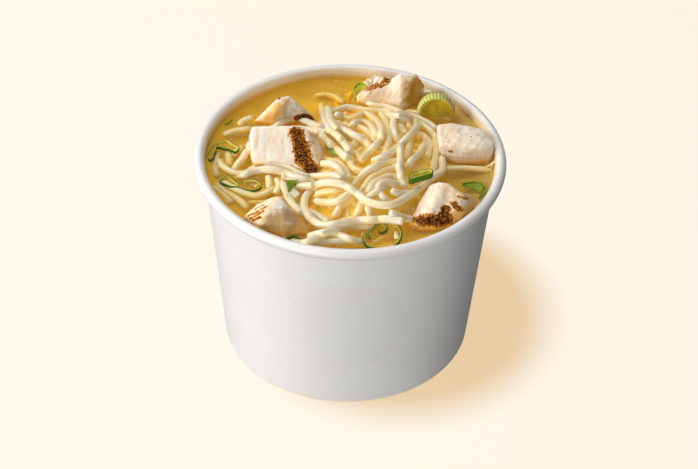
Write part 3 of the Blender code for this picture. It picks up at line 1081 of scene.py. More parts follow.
CHUNKS = (
    Chunk(node="chicken_back_right", rows=(
        ((1.5, 36.5, 0.3), (4, 34.5, 0), (10, 34, 0), (15, 32.5, 0), (19.5, 30.5, 0), (23, 34, 0.3), (28, 37, 0.5)),
        ((2, 41, 1.5), (5.5, 46, 4), (9.8, 54.3, 9), (15, 52, 8.3), (18.5, 56, 11), (25, 56, 10.6), (28.4, 48, 6.5)),
    ), back=(0, 4.5, -11), grain=(0.5, 0.2, 0.8), sears=(
        Stroke(((12.5, 53.5), (14, 51.5), (13, 50)), 1.7, 0.8),
        Stroke(((13, 48.5), (10.5, 46.8), (7.8, 45.2), (5.8, 43.9)), 2.0, 0.46),
    ), tans=(
        Stroke(((4, 38), (8, 39), (11, 41)), 3.0, 0.3), Stroke(((11.5, 37.5), (15, 34), (18, 32)), 1.3, 0.6),
        Stroke(((20.5, 52), (20, 44), (20, 36)), 1.5, 0.5), Stroke(((5, 42), (12, 46), (18, 46)), 9.0, 0.14),
    ), shade_and_soak_strokes=(
        # The right lobe's face, turned from the light: painted shade, partly soaked broth.
        Stroke(((26, 50), (24.4, 47), (23.8, 42), (23.8, 36), (26, 33)), 4.8, 1.0),
        Stroke(((4, 41), (10, 40), (16, 40)), 4.0, 0.16),
    )),
    Chunk(node="chicken_back_left", rows=(
        ((-37, 21.5, 0), (-28.8, 19.8, 0), (-23.5, 21.5, 0), (-11.8, 19.8, -1)),
        ((-34.8, 25.2, 2), (-28.6, 28.5, 5.6), (-22.8, 29.5, 4.8), (-13.5, 24.5, 1)),
        ((-33.2, 28, 3.5), (-28, 37.5, 8.4), (-24, 39, 9), (-15, 27, 2.5)),
    ), back=(-1, 6, -10), grain=(0.3, 0.1, 0.9), sears=(
        Stroke(((-20, 24.4), (-17.4, 25.4), (-15.8, 24)), 2.1, 0.95), Stroke(((-28.8, 37.6), (-28, 36.6)), 1.1, 0.9),
        Stroke(((-24.2, 22.8), (-22, 22.5)), 0.7, 0.5),
    ), tans=(
        Stroke(((-31.5, 22), (-29.7, 26), (-28, 31)), 3.4, 1.0), Stroke(((-25.5, 34.5), (-23.8, 33.5)), 1.5, 0.6),
        Stroke(((-35, 21.2), (-30, 20.5)), 1.0, 0.5), Stroke(((-22.6, 30), (-20.4, 28.4), (-18.4, 29)), 0.9, 0.6),
    ), shade_and_soak_strokes=(
        Stroke(((-20.5, 34.5), (-16, 28), (-12.5, 22)), 2.0, 0.3), Stroke(((-31.5, 22), (-28.5, 30)), 3.4, 0.14),
        Stroke(((-24.6, 23), (-25.4, 29), (-24.6, 36)), 1.2, 0.42),
    )),
    Chunk(node="chicken_left", rows=(
        ((-35.4, -5.2, 0.8), (-20.6, -6.2, 1), (-15.8, -9, 0.6), (-11.9, -11, 0.4)),
        ((-37, 5, 5.7), (-21.2, 5, 6.1), (-14.8, 4.5, 5.6), (-9.6, 3.5, 4.9)),
        ((-37.4, 18.8, 12), (-21.5, 19.6, 12.5), (-16.6, 18.2, 11.6), (-11.8, 13, 8)),
    ), back=(-3.5, 9, -10), grain=(0.06, 0.25, 0.95), sears=(
        Stroke(((-20.4, 15.6), (-19.2, 9.6), (-18.3, 3.5), (-17, -1.5), (-15, -5.6), (-13.9, -8)), 3.3, 1.0),
        Stroke(((-18.4, 8), (-17.2, 0), (-15.4, -5)), 3.8, 0.9), Stroke(((-20.6, 19), (-20.2, 16)), 0.9, 0.35),
    ), tans=(
        Stroke(((-36.5, 5), (-36, -2), (-30, -5.6), (-22, -6)), 1.0, 0.3),
        Stroke(((-17.4, 14.4), (-14.6, 13.8), (-12, 11.6)), 0.55, 0.5),
        Stroke(((-16.6, 10), (-13.6, 9.2), (-10.8, 7.2)), 0.55, 0.5),
        Stroke(((-15.6, 5.6), (-12.8, 4.4), (-10.4, 2.2)), 0.55, 0.5),
        Stroke(((-14.8, 1.2), (-12.4, -0.2), (-10.6, -2.4)), 0.55, 0.45),
    # Painted shade where the faces turn from the light, partly soaked broth.
    ), shade_and_soak_strokes=(Stroke(((-13, 13), (-11.2, 6), (-10.8, -2), (-11.6, -9)), 3.8, 0.64),)),
    Chunk(node="chicken_right", rows=(
        ((34.2, 0.8, 0), (39.6, -0.5, 0), (45, -0.3, 0), (50.5, 0.6, 0), (52.4, 1.9, 0)),
        ((33, 9.8, 5), (38.5, 9.4, 5.4), (44.5, 7.8, 5.2), (49, 8.5, 5), (53.8, 7.6, 3.6)),
        ((32.5, 17, 5.6), (38.3, 17, 5.9), (44.7, 15.5, 5.9), (49.6, 14.8, 5.4), (54, 11.5, 4.1)),
        ((32.4, 23, 5.4), (38, 24, 5.8), (44.9, 22.7, 5.6), (49.4, 20.8, 5.2), (53, 15.2, 4.4)),
    ), back=(-1, 1, -12.5), grain=(0.35, 0.85, 0.1), sears=(
        Stroke(((36.8, 6), (37.6, 5.6)), 0.9, 0.6), Stroke(((44.8, 15.4), (45.2, 15.2)), 0.5, 0.4),
    ), tans=(
        Stroke(((53.8, 14), (54.6, 9), (53.8, 6)), 0.8, 0.7), Stroke(((36, 11.5), (40, 9.2), (45, 7.8)), 1.0, 0.35),
        Stroke(((41, 5.2), (45, 5)), 0.6, 0.5), Stroke(((36, 12), (50, 12)), 8.0, 0.08),
        Stroke(((35, 21), (40, 19.6), (46, 20), (51, 17.4)), 0.7, 0.3),
    ), shade_and_soak_strokes=(
        Stroke(((35, 2), (40, 1), (45, 1), (52, 2.5)), 2.6, 0.4), Stroke(((54.4, 12), (54.8, 8)), 0.5, 0.8),
        Stroke(((35, 7), (40, 5.5), (46, 5), (53, 5.5)), 2.6, 0.2),
    ), lumps=0.6),
    Chunk(node="chicken_front_left", rows=(
        ((-38.5, -36.5, -0.5), (-31, -42.5, 0), (-22, -46, -0.8), (-12.8, -44.5, -1.5)),
        ((-36.9, -33.5, 1.8), (-31.2, -37.5, 3.6), (-22, -38.5, 2.6), (-15, -38.4, 0.4)),
        ((-33, -27.6, 4.6), (-28.3, -28.7, 7), (-23.6, -30.6, 6), (-19.6, -31.2, 4.4)),
        ((-27.5, -23, 7.6), (-25.1, -22.4, 8.6), (-24.3, -22.9, 8.4), (-23.5, -24, 7.8)),
    ), back=(1.5, 2.5, -10.5), grain=(0.8, -0.5, 0.1), sears=(
        Stroke(((-35.4, -34.6), (-32.6, -32.2), (-29.4, -29)), 0.6, 0.62),
        Stroke(((-34.8, -36), (-32.4, -33.8), (-30.4, -31.6)), 0.7, 0.7),
        Stroke(((-33.6, -37), (-31.6, -35.2)), 0.8, 0.75), Stroke(((-33.4, -31), (-30.6, -28.2)), 0.4, 0.5),
    ), tans=(
        Stroke(((-26.2, -24), (-28.6, -29), (-30.7, -34.5), (-31, -40)), 1.6, 0.55),
        Stroke(((-35.5, -35), (-32, -32.5), (-29.5, -29)), 3.4, 0.5),
    ), shade_and_soak_strokes=(
        Stroke(((-28, -42), (-22, -42), (-16, -42)), 4.6, 0.9), Stroke(((-26, -37), (-22, -34), (-17, -37)), 4.8, 0.8),
    ), lumps=0.2),
    Chunk(node="chicken_front_right", rows=(
        ((21.3, -36.5, 0.3), (25.5, -39.2, 0.4), (32, -38.8, 0.4), (40, -33.5, 0.5), (45.2, -26.5, 0.5)),
        ((24.8, -25, 4), (29.8, -27, 6.2), (34.6, -25.4, 5.2), (40.6, -25.4, 5.4), (46.2, -22.6, 1.6)),
        ((29.7, -13.2, 6.4), (33, -11.9, 7.6), (36.2, -12.1, 7.8), (40.3, -17.6, 6.8), (44.2, -18.2, 5.4)),
    ), back=(-1.5, 2, -10), grain=(-0.5, -0.75, 0.4), sears=(
        Stroke(((26.6, -34.6), (29, -34.8), (31.6, -35), (34, -33)), 4.1, 1.0),
        Stroke(((33.8, -31.5), (34.8, -27.6)), 2.1, 0.95), Stroke(((37.6, -24.8), (39.3, -27.4)), 1.8, 0.8),
        Stroke(((39.6, -20.6), (42.2, -21.8)), 1.1, 0.55),
    ), tans=(
        Stroke(((22, -37), (26, -38.8), (31, -39), (38, -36)), 2.8, 0.95), Stroke(((27, -30), (34, -20)), 9.0, 0.2),
        Stroke(((33, -26.5), (36.5, -22.5)), 1.2, 0.3), Stroke(((38, -33), (43, -28), (46.5, -23.5)), 3.4, 0.85),
        Stroke(((30.5, -18), (27.5, -24)), 1.2, 0.25), Stroke(((40.5, -19.5), (43.5, -22)), 2.4, 0.5),
    ), shade_and_soak_strokes=(
        # Painted shade where the faces turn from the light, partly soaked broth.
        Stroke(((37, -14), (38, -22), (40, -28)), 3.4, 0.3), Stroke(((44, -20), (44, -27), (38, -32)), 3.6, 0.42),
        Stroke(((28.2, -17.6), (25, -25), (22.4, -33)), 1.6, 0.2),
    )),
)


@dataclass(frozen=True)
class Shred:
    """A thin shred of meat, between an upper and a lower edge.

    Attributes:
        upper: Its upper edge, as places seen on the broth, in millimetres.
        lower: Its lower edge.
        height: How high it lies over the broth, in millimetres.
        thick: Its thickness, in millimetres.
        tan: How golden it is.
    """

    upper: Run
    lower: Run
    height: float
    thick: float = 0.6
    tan: float = 0.25


SHREDS = (
    Shred(((-24.8, -9), (-22.2, -9.3), (-18.4, -11.9), (-14.6, -13.6), (-11.6, -15.2)), (
        (-24.7, -12.8), (-21.3, -13.8), (-17.5, -14.9), (-13.8, -15.9),
    ), 1.3),
    Shred(((4.4, 48.6), (6.6, 51.3), (9.8, 54.6)), ((6.2, 46.4), (8, 49.2), (9.6, 52)), 6.5, 0.7, 0.5),
    Shred(((49.8, -2.2), (51.6, -1.2), (53, 1)), ((49.9, -2.9), (52.2, -2.2), (53.6, 0.8)), 0.3, 0.5, 0.3),
    Shred(((-38.4, 8.2), (-38.7, 5.6), (-37.4, 3.2)), ((-37.2, 8), (-37.3, 5.4), (-36.3, 3.2)), 4.5, 0.8, 0.1),
    Shred(((-18.6, -28.6), (-18.3, -30.6), (-17.4, -32.6), (-15.7, -35.4)), (
        (-17.5, -28.6), (-17, -30.4), (-16.1, -32.4), (-14.6, -35.2),
    ), 0.4, 0.5, 0.2),
    Shred(((25.7, 30.8), (26.8, 29.4), (28, 31.6)), ((26, 29.8), (26.9, 28.6), (28.6, 30.9)), 0.7, 0.7, 0.05),
    Shred(((15.6, -2.6), (17, -3.4), (18.2, -5)), ((15.2, -3.4), (16.4, -4.4), (17.4, -5.8)), 5.6, 0.5, 0.3),
    Shred(((-7.4, -27.4), (-3.4, -27.2), (0.8, -26.2)), ((-7.2, -29.2), (-3.6, -29.4), (0.2, -28.2)), 1.4, 0.5, 0.35),
)


@dataclass
class Chicken:
    """The chunks of chicken, each from a coarse cage to a fine mesh with fibres and a pitted sear."""

    taper: float = 0.88
    bevel: float = 0.85 * MM
    grain_size: float = 0.42 * MM
    fibre_depth: float = 0.14 * MM
    pit_depth: float = 0.34 * MM
    stretch: float = 0.14
    raggedness: float = 0.4
    tear: float = 0.9 * MM
    tear_seed: int = 3
    shred_columns: int = 16
    finish: ChickenFinish = field(default_factory=ChickenFinish)
    chunks: tuple[Chunk, ...] = CHUNKS
    shreds: tuple[Shred, ...] = SHREDS

    def cage(self, chunk: Chunk) -> Piece:
        """Draws the faces of a chunk that show on a grid, and extrudes them back to slightly smaller ones.

        Args:
            chunk: The chunk.

        Returns:
            Its cage, with round edges.
        """
        last, highest = len(chunk.rows[0]) - 1, len(chunk.rows) - 1

        def place(across: float, up: float) -> Vector:
            """Returns a point of the grid, a share across it and a share up."""
            x, y, height = chunk.rows[round(up * highest)][round(across * last)]
            return raised(x * MM, y * MM, height * MM)

        cage = add_grid(chunk.node.title(), last, highest, place)
        edit(cage)
        bpy.ops.mesh.extrude_region_move(TRANSFORM_OT_translate={"value": Vector(chunk.back) * MM})
        bpy.ops.transform.resize(value=(self.taper,) * 3, center_override=picked_middle(cage))
        close_edit()
        tidy_mesh(cage)
        corner = math.radians(25)
        apply_modifier(cage, "BEVEL", width=self.bevel, segments=3, limit_method="ANGLE", angle_limit=corner)
        return cage

    def strength(self, point: Vector, marks: Sequence[tuple[np.ndarray, Stroke]]) -> float:
        """Finds how strong one kind of stroke is at a point.

        Args:
            point: The point.
            marks: The strokes of that kind, each after its middle.

        Returns:
            The strength of the strongest.
        """
        seen = as_seen(point)
        ragged = 0.8 * noise.noise(point * 900) + 0.5 * noise.noise(point * 350)
        best = 0.0
        for run, stroke in marks:
            near = distance_to_run(seen, run) / stroke.reach + self.raggedness * ragged
            best = max(best, stroke.strength * (1 - smooth_step(near, 0.35, 1.2)))
        return best

    def rise(self, point: Vector, along: Vector, lumps: float, seared: float) -> float:
        """Finds how far a chunk's surface rises at a point.

        Args:
            point: The point.
            along: Its place along the fibres.
            lumps: How uneven the chunk is, in millimetres.
            seared: How seared the point is.

        Returns:
            The rise, in metres.
        """
        fibres = self.fibre_depth * roughness_at(along, 1100, 2300, 0.6) * (1 - seared)
        uneven = lumps * MM * roughness_at(point, 170, 420, 0.4) * 0.6
        return fibres + uneven + self.pit_depth * roughness_at(point, 1500, 2800, 0.7) * seared

    def build_chunk(self, chunk: Chunk) -> Piece:
        """Gives a chunk its relief, and marks its strokes.

        Args:
            chunk: The chunk.

        Returns:
            Its mesh.
        """
        piece = self.cage(chunk)
        apply_modifier(piece, "REMESH", mode="VOXEL", voxel_size=self.grain_size, use_smooth_shade=True)
        apply_modifier(piece, "SMOOTH", factor=0.5, iterations=4)
        turn = Vector(chunk.grain).normalized().to_track_quat("X", "Z").inverted()
        # The soak strokes paint shade on faces turned from the light, as well as soaked broth.
        kinds = {"sear": chunk.sears, "tan": chunk.tans, "shade_and_soak": chunk.shade_and_soak_strokes}
        strokes = {kind: [(smooth_run(s.run, 0.4), s) for s in marks] for kind, marks in kinds.items()}
        values: dict[str, list[float]] = {kind: [] for kind in kinds}
        meat: list[Vector] = []
        moves: list[Vector] = []
        for vertex in piece.data.vertices:
            facing = smooth_step(vertex.normal.dot((EYE - vertex.co).normalized()), -0.1, 0.25)
            for kind, marks in strokes.items():
                values[kind].append(self.strength(vertex.co, marks) * facing)
            along = turn @ vertex.co
            along.x *= self.stretch
            meat.append(along)
            moves.append(vertex.normal * self.rise(vertex.co, along, chunk.lumps, values["sear"][-1]))
        for vertex, move in zip(piece.data.vertices, moves):
            vertex.co += move
        for kind, numbers in values.items():
            set_attribute(piece, kind, numbers)
        set_attribute(piece, "meat", meat, "FLOAT_VECTOR")
        return piece

    def build_shred(self, shred: Shred) -> Piece:
        """Lays a thin shred between its torn edges.

        Args:
            shred: The shred.

        Returns:
            Its mesh.
        """
        lower, upper = (share_out(run, 0.35, self.shred_columns + 1) for run in (shred.lower, shred.upper))

        def lay(across: float, up: float) -> Vector:
            """Finds a point of the shred.

            Args:
                across: The share along it.
                up: The share from its lower edge to its upper one.

            Returns:
                The point.
            """
            column = round(across * self.shred_columns)
            x, y = lower[column] * (1 - up) + upper[column] * up
            point = raised(x * MM, y * MM, shred.height * MM)
            torn = 0.5 * noise.noise_vector(point * 500) + 0.3 * noise.noise_vector(point * 1400)
            return point + torn * self.tear

        made = add_grid("shred", self.shred_columns, 5, lay)
        apply_modifier(made, "SOLIDIFY", thickness=shred.thick * MM, offset=0, use_even_offset=True)
        apply_modifier(made, "SUBSURF", levels=1, render_levels=1)
        set_attribute(made, "tan", [shred.tan] * len(made.data.vertices))
        set_attribute(made, "meat", [v.co * 0.5 for v in made.data.vertices], "FLOAT_VECTOR")
        return made

    def build(self) -> list[Piece]:
        """Makes the chunks and the shreds.

        Returns:
            Their meshes.
        """
        meat = self.finish.material()
        noise.seed_set(self.tear_seed)
        torn = join([self.build_shred(shred) for shred in self.shreds], "Meat_shreds")
        shade_round(torn, 60)
        dress(torn, meat, Slot.CHICKEN)
        made = [torn]
        for chunk in self.chunks:
            piece = self.build_chunk(chunk)
            dress(piece, meat, Slot.CHICKEN, chunk.node)
            made.append(piece)
        return made


# Scallions


@dataclass(frozen=True)
class Strip:
    """A strip of leaf, between an upper and a lower edge.

    Attributes:
        run: Its upper edge, as places seen on the broth, in millimetres.
        height: How high that edge is over the broth, in millimetres.
        depth: How far the strip goes straight down from there, in millimetres, if it has no lower edge of its own.
        thick: Its thickness, in millimetres.
        ring: Whether it is a whole ring.
        lower: Its lower edge, if it isn't straight below the upper one.
        lower_height: How high the lower edge is.
        skin: How much of the skin's colour it has, if that isn't the outer side's alone.
    """

    run: Run
    height: float
    depth: float = 1.8
    thick: float = 0.55
    ring: bool = False
    lower: Run = ()
    lower_height: float = 0.0
    skin: float | None = None


@dataclass(frozen=True)
class Leaf:
    """One cut piece of scallion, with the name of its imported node, or its own where the broth covers it."""

    name: str
    strips: tuple[Strip, ...]
    packed: bool = True


LEAVES = (
    Leaf("scallion_ring_front", (
        Strip((
            (7.6, -49.5), (6, -47), (5.5, -44.5), (6.5, -42), (8, -39.5), (9.5, -37.5), (11.5, -36), (13.5, -35.5),
            (15.5, -35.8), (17.3, -37.4), (18.5, -40), (18.5, -43), (17.9, -45.7), (16.2, -48.4), (12, -50.4),
        ), 0.5, 2.1, 0.68, ring=True),
        Strip((
            (7.7, -44.6), (7.3, -42.5), (7.9, -40.6), (9.2, -38.9), (10.7, -37.4), (12.3, -37.1), (13.5, -38.4),
            (13.4, -40.1), (12.1, -41.4), (10.9, -41), (10.6, -39.9),
        ), 0.45, 1.6, 0.5),
        Strip(((6.6, -44.5), (7.3, -41.5), (9.2, -38.7), (11.2, -36.8), (13.4, -36.3)), -0.25, thick=0.4, lower=(
            (8.6, -44), (8.8, -42), (10, -40.2), (11.6, -38.6), (13.2, -38.2),
        ), lower_height=-0.6, skin=0.24),
        Strip(((16.4, -45.4), (16.1, -43.2), (16.5, -41)), 0.1, thick=0.5, lower=(
            (17.6, -45.2), (17.5, -43), (17.4, -41),
        ), lower_height=0.0, skin=0.0),
    )),
    Leaf("scallion_fold_left", (
        Strip((
            (-52.5, 0.1), (-51.8, 2.4), (-51.4, 4.3), (-50.6, 6.3), (-49.2, 7.7), (-47.3, 9.1), (-45.7, 9),
            (-44.1, 7.3), (-42.7, 6), (-41.6, 5.4), (-41.6, 3.7), (-42.7, 2.7), (-44.4, 3.6), (-46.3, 4.3), (-48.3, 5),
            (-49.6, 5.2), (-49.8, 3), (-50.3, 0.7), (-50.6, -1.5), (-51.5, -2.7), (-52.3, -1),
        ), 0.5, 1.7, 0.42, ring=True),
        Strip(((-49.6, 4.8), (-47, 4.6), (-44.4, 3.9)), -0.9, thick=0.3, lower=((-49, 3), (-47, 2.4), (-45, 2.6)),
            lower_height=-1.5, skin=0.35),
    )),
    Leaf("scallion_eight", (
        Strip((
            (-47, -14.6), (-46, -13.1), (-44.5, -12.6), (-43, -13.7), (-41.2, -15.6), (-40, -16.9), (-39, -15.2),
            (-36.5, -14.1), (-34.4, -14.1), (-32.6, -15.5), (-32, -17.4), (-33, -19), (-35, -19.9), (-37.5, -19.5),
            (-39.2, -18.6), (-40.6, -18.2), (-42.5, -18), (-44.5, -17), (-46.5, -15.7),
        ), 0.5, 1.6, 0.5, ring=True),
        Strip(((-34.6, -17.9), (-33.6, -16.9)), -0.2, thick=0.4, lower=((-34, -18.5), (-33, -17.3)),
            lower_height=-0.3, skin=0.0),
    )),
    Leaf("scallion_slit", (
        Strip(((-22.2, -14.3), (-22.6, -15.7), (-22.4, -17.6), (-22, -20)), 2.0, thick=0.6, lower=(
            (-19.1, -14.1), (-19.3, -16), (-20.5, -16.9), (-21.7, -20),
        ), lower_height=1.9, skin=0.66),
        Strip(((-22.2, -19.8), (-22.1, -22), (-21.3, -23.6), (-20.4, -24.9), (-19.2, -26.4), (-18.5, -26.1)), 1.6,
            1.5, 0.95, skin=0.5),
        Strip(((-21.6, -21.4), (-20.2, -18.4)), 1.2, thick=0.6, lower=((-19.2, -24.1), (-17.6, -21.5)),
            lower_height=1.1, skin=0.0),
    )),
    Leaf("scallion_flat_ring", (
        Strip((
            (21.8, -10.5), (22.5, -8.2), (24.4, -6.8), (27, -5.6), (29.3, -5.1), (30.2, -5.9), (29.6, -7.4),
            (27.3, -8.6), (24.7, -9.9), (22.8, -11),
        ), 8.7, 2.3, 0.75, ring=True),
    )),
    Leaf("scallion_crescent", (
        Strip((
            (-22.2, -47), (-21.1, -45.7), (-20, -44.9), (-18.9, -44.6), (-17.8, -45), (-16.8, -46.1), (-15.9, -47.4),
            (-15.3, -48.8),
        ), 0.5, 1.6, 0.62, skin=0.9),
    )),
    Leaf("scallion_hook", (
        Strip(((6.6, 47.2), (4.2, 47.8), (1.8, 47.2), (0.8, 45), (0.9, 42.5), (1.4, 40.3), (1.8, 38.1)), 0.3, 2.0,
            0.6, skin=0.46),
        Strip(((6.4, 46.4), (4.2, 47), (2.1, 46.4)), 0.05, thick=0.4, lower=((6, 42.6), (4, 42.2), (2, 42.6)),
            lower_height=-0.8, skin=0.36),
    )),
    Leaf("Sunk_ring", (
        Strip(((41, -13), (44.5, -12.2), (47.5, -12.6), (49.3, -15), (48.9, -18), (46.8, -21)), -0.2, 1.4, 0.6,
            skin=0.62),
        Strip(((41.2, -13.2), (44.5, -12.6), (47.2, -13.2), (48.6, -15.4)), -0.7, thick=0.4, lower=(
            (40.6, -15.4), (43.4, -16.4), (46, -17.6), (47.4, -19.4),
        ), lower_height=-1.3, skin=0.58),
    ), packed=False),
    Leaf("Sunk_shred", (Strip(((-47.5, 18.5), (-46, 20), (-44.8, 21.6)), -1.2, 1.2, 0.5, skin=0.5),), packed=False),
    Leaf("Leaf_under_arch", (
        Strip(((-10, 9.2), (-8.7, 5.7), (-6.6, 2.6), (-4.3, 1.4)), 3.4, thick=0.5, lower=(
            (-7.8, 11.5), (-5.6, 8.2), (-3.4, 5), (-2, 2.8),
        ), lower_height=4.0, skin=0.52),
        Strip(((-3.6, 14.2), (-1, 11.2)), 5.2, thick=0.5, lower=((-4.6, 13), (-2.4, 10.4)), lower_height=5.0, skin=0.6),
    ), packed=False),
)


@dataclass
class Scallions:
    """The cut scallions: thin curled strips with a dark skin outside and pale flesh inside."""

    step: float = 0.4 * MM
    rows: int = 5
    waver: float = 0.08 * MM
    bevel: float = 0.14 * MM
    palest: float = 0.2
    ribs: int = 17
    rib_depth: float = 0.07 * MM
    stem_length: float = 6.4 * MM
    stem_bulge: float = 0.5 * MM
    stem_dish: float = 0.35 * MM
    stem_place: Spot = (32.4, 33.2, 2.6)
    stem_tilt: float = 74
    stem_arch: Run = (
        (-6.6, -1.9), (-6.5, 0), (-4.9, 2.9), (-2.2, 4.5), (0, 4.8), (2.2, 4.5), (4.9, 2.9), (6.5, 0), (6.6, -1.9),
    )
    stem_belly: Run = ((6.6, -1.9), (3, -2.4), (-3, -2.4), (-6.6, -1.9))
    stem_middle: Place = (0, -1.0 * MM)
    dish_middle: float = 0.7 * MM
    dish_shares: tuple[float, ...] = (0.8, 0.75, 0.6)
    finish: ScallionFinish = field(default_factory=ScallionFinish)
    stem_finish: StemFinish = field(default_factory=StemFinish)
    leaves: tuple[Leaf, ...] = LEAVES

    def edges(self, strip: Strip) -> tuple[list[Vector], list[Vector]]:
        """Finds the points of a strip's edges.

        Args:
            strip: The strip.

        Returns:
            The upper edge's points and the lower edge's, as many of each.
        """
        upper = smooth_run(strip.run, self.step / MM, strip.ring)
        if strip.ring:
            upper = np.vstack([upper, upper[:1]])
        top = [raised(x * MM, y * MM, strip.height * MM) for x, y in upper]
        if not strip.lower:
            return top, [point - UP * strip.depth * MM for point in top]
        lower = share_out(strip.lower, self.step / MM, len(top)) * MM
        return top, [raised(x, y, strip.lower_height * MM) for x, y in lower]

    def build_strip(self, strip: Strip) -> Piece:
        """Lays a grid between a strip's edges, gives it its thickness and marks its skin.

        Args:
            strip: The strip.

        Returns:
            Its mesh.
        """
        top, bottom = self.edges(strip)
        last = len(top) - 1

        def lay(across: float, up: float) -> Vector:
            """Finds a point of the strip.

            Args:
                across: The share along it.
                up: The share from its lower edge to its upper one.

            Returns:
                The point.
            """
            column = round(across * last)
            point = bottom[column].lerp(top[column], up)
            if strip.ring and column in (0, last):
                return point
            return point + Vector((1, -1, 1)) * self.waver * noise.noise(point * 400)

        made = add_grid("strip", last, self.rows, lay)
        tidy_mesh(made)
        apply_modifier(made, "SOLIDIFY", thickness=strip.thick * MM, offset=0, use_even_offset=True)
        corner = math.radians(50)
        apply_modifier(made, "BEVEL", width=self.bevel, segments=2, limit_method="ANGLE", angle_limit=corner)
        run = np.array([point.xy for point in top])
        area = sum(a[0] * b[1] - a[1] * b[0] for a, b in zip(run, run[1:]))
        outside = -1 if strip.ring and area > 0 else 1
        skins = []
        for vertex in made.data.vertices:
            if strip.skin is not None:
                skins.append(strip.skin)
                continue
            index = int(np.argmin(np.hypot(run[:, 0] - vertex.co.x, run[:, 1] - vertex.co.y)))
            ahead, behind = run[min(index + 1, last)], run[max(index - 1, 0)]
            along = Vector(ahead - behind).normalized()
            left = Vector((-along.y, along.x))
            across = outside * (vertex.co.xy - Vector(run[index])).dot(left) / (strip.thick * MM / 2)
            skins.append(self.palest + (1 - self.palest) * smooth_step(across, -0.8, 0.5))
        set_attribute(made, "skin", skins)
        return made

    def build_leaf(self, leaf: Leaf) -> Piece:
        """Makes a cut piece.

        Args:
            leaf: What it is made of.

        Returns:
            Its mesh.
        """
        name = leaf.name.title() if leaf.packed else leaf.name
        made = join([self.build_strip(strip) for strip in leaf.strips], name)
        shade_round(made, 50)
        return made

    def build_stem(self) -> Piece:
        """Makes the thick ribbed stem that stands in the broth at the back, with its cut face to the front.

        Returns:
            Its mesh, marked with its ribs, its brown side and its cut faces.
        """
        arch = smooth_run(self.stem_arch, 0.2) * MM
        belly = smooth_run(self.stem_belly, 0.8)[1:-1] * MM
        section = np.vstack([arch, belly, arch[:1]])
        last = len(section) - 1
        ribbed = len(arch) - 1
        x, y, height = self.stem_place
        turn = Matrix.Translation(raised(x * MM, y * MM, height * MM))
        turn = turn @ Matrix.Rotation(math.radians(self.stem_tilt), 4, "X")
        back = turn.inverted()

        def lay(across: float, up: float) -> Vector:
            """Finds a point of the stem's side.

            Args:
                across: The share round it.
                up: The share along it.

            Returns:
                The point.
            """
            column = round(across * last) % last
            flat = Vector(section[column])
            away = (flat - Vector(self.stem_middle)).normalized()
            wave = math.cos(2 * math.pi * self.ribs * column / ribbed) if column < ribbed else 0
            flat = flat + away * (self.rib_depth * wave + self.stem_bulge * math.sin(math.pi * up))
            return turn @ Vector((*flat, (0.5 - up) * self.stem_length))

        stem = add_grid("Scallion_Stem", last, 14, lay)
        tidy_mesh(stem, 0.000002)
        edit(stem, everything=False)
        bpy.ops.mesh.select_non_manifold(extend=False)
        bpy.ops.mesh.fill_holes(sides=0)
        close_edit()
        for side in (1, -1):
            inward = turn.to_3x3() @ Vector((0, 0, -side * self.stem_dish / len(self.dish_shares)))
            for share in self.dish_shares:
                select_faces(stem, lambda face: len(face.vertices) > 8 and (back @ face.center).z * side > 0)
                bpy.ops.mesh.extrude_region_move(TRANSFORM_OT_translate={"value": inward})
                middle = turn @ Vector((0, self.dish_middle, (back @ picked_middle(stem)).z))
                bpy.ops.transform.resize(value=(share,) * 3, center_override=middle)
                close_edit()
        select_faces(stem, lambda face: len(face.vertices) > 8)
        bpy.ops.mesh.poke()
        close_edit()
        tidy_mesh(stem, 0.000002)
        browns, ribs, cuts = [], [], []
        for vertex in stem.data.vertices:
            local = back @ vertex.co
            index = int(np.argmin(np.hypot(arch[:, 0] - local.x, arch[:, 1] - local.y)))
            browns.append(smooth_step(local.x / MM, 2.5, 6.0))
            ribs.append(0.5 + 0.5 * math.cos(2 * math.pi * self.ribs * index / ribbed))
            inside = (Vector(arch[index]) - local.xy).length > 0.25 * MM
            cuts.append(float(inside and abs(local.z) > 0.4 * self.stem_length))
        for name, values in (("brown", browns), ("rib", ribs), ("cut", cuts)):
            set_attribute(stem, name, values)
        shade_round(stem, 50)
        return stem

    def build(self) -> list[Piece]:
        """Makes the scallions.

        Returns:
            Their meshes.
        """
        green = self.finish.material()
        made = []
        for leaf in self.leaves:
            piece = self.build_leaf(leaf)
            dress(piece, green, Slot.SCALLION, *([leaf.name] if leaf.packed else []))
            made.append(piece)
        stem = self.build_stem()
        dress(stem, self.stem_finish.material(), Slot.SCALLION, "scallion_stem")
        return [*made, stem]


# Noodles


class Ends(Enum):
    """Which of a strand's ends lie open, where the others dive under what lies round them."""

    NEITHER = (False, False)
    FIRST = (True, False)
    LAST = (False, True)
    BOTH = (True, True)

NEITHER, FIRST, LAST, BOTH = Ends

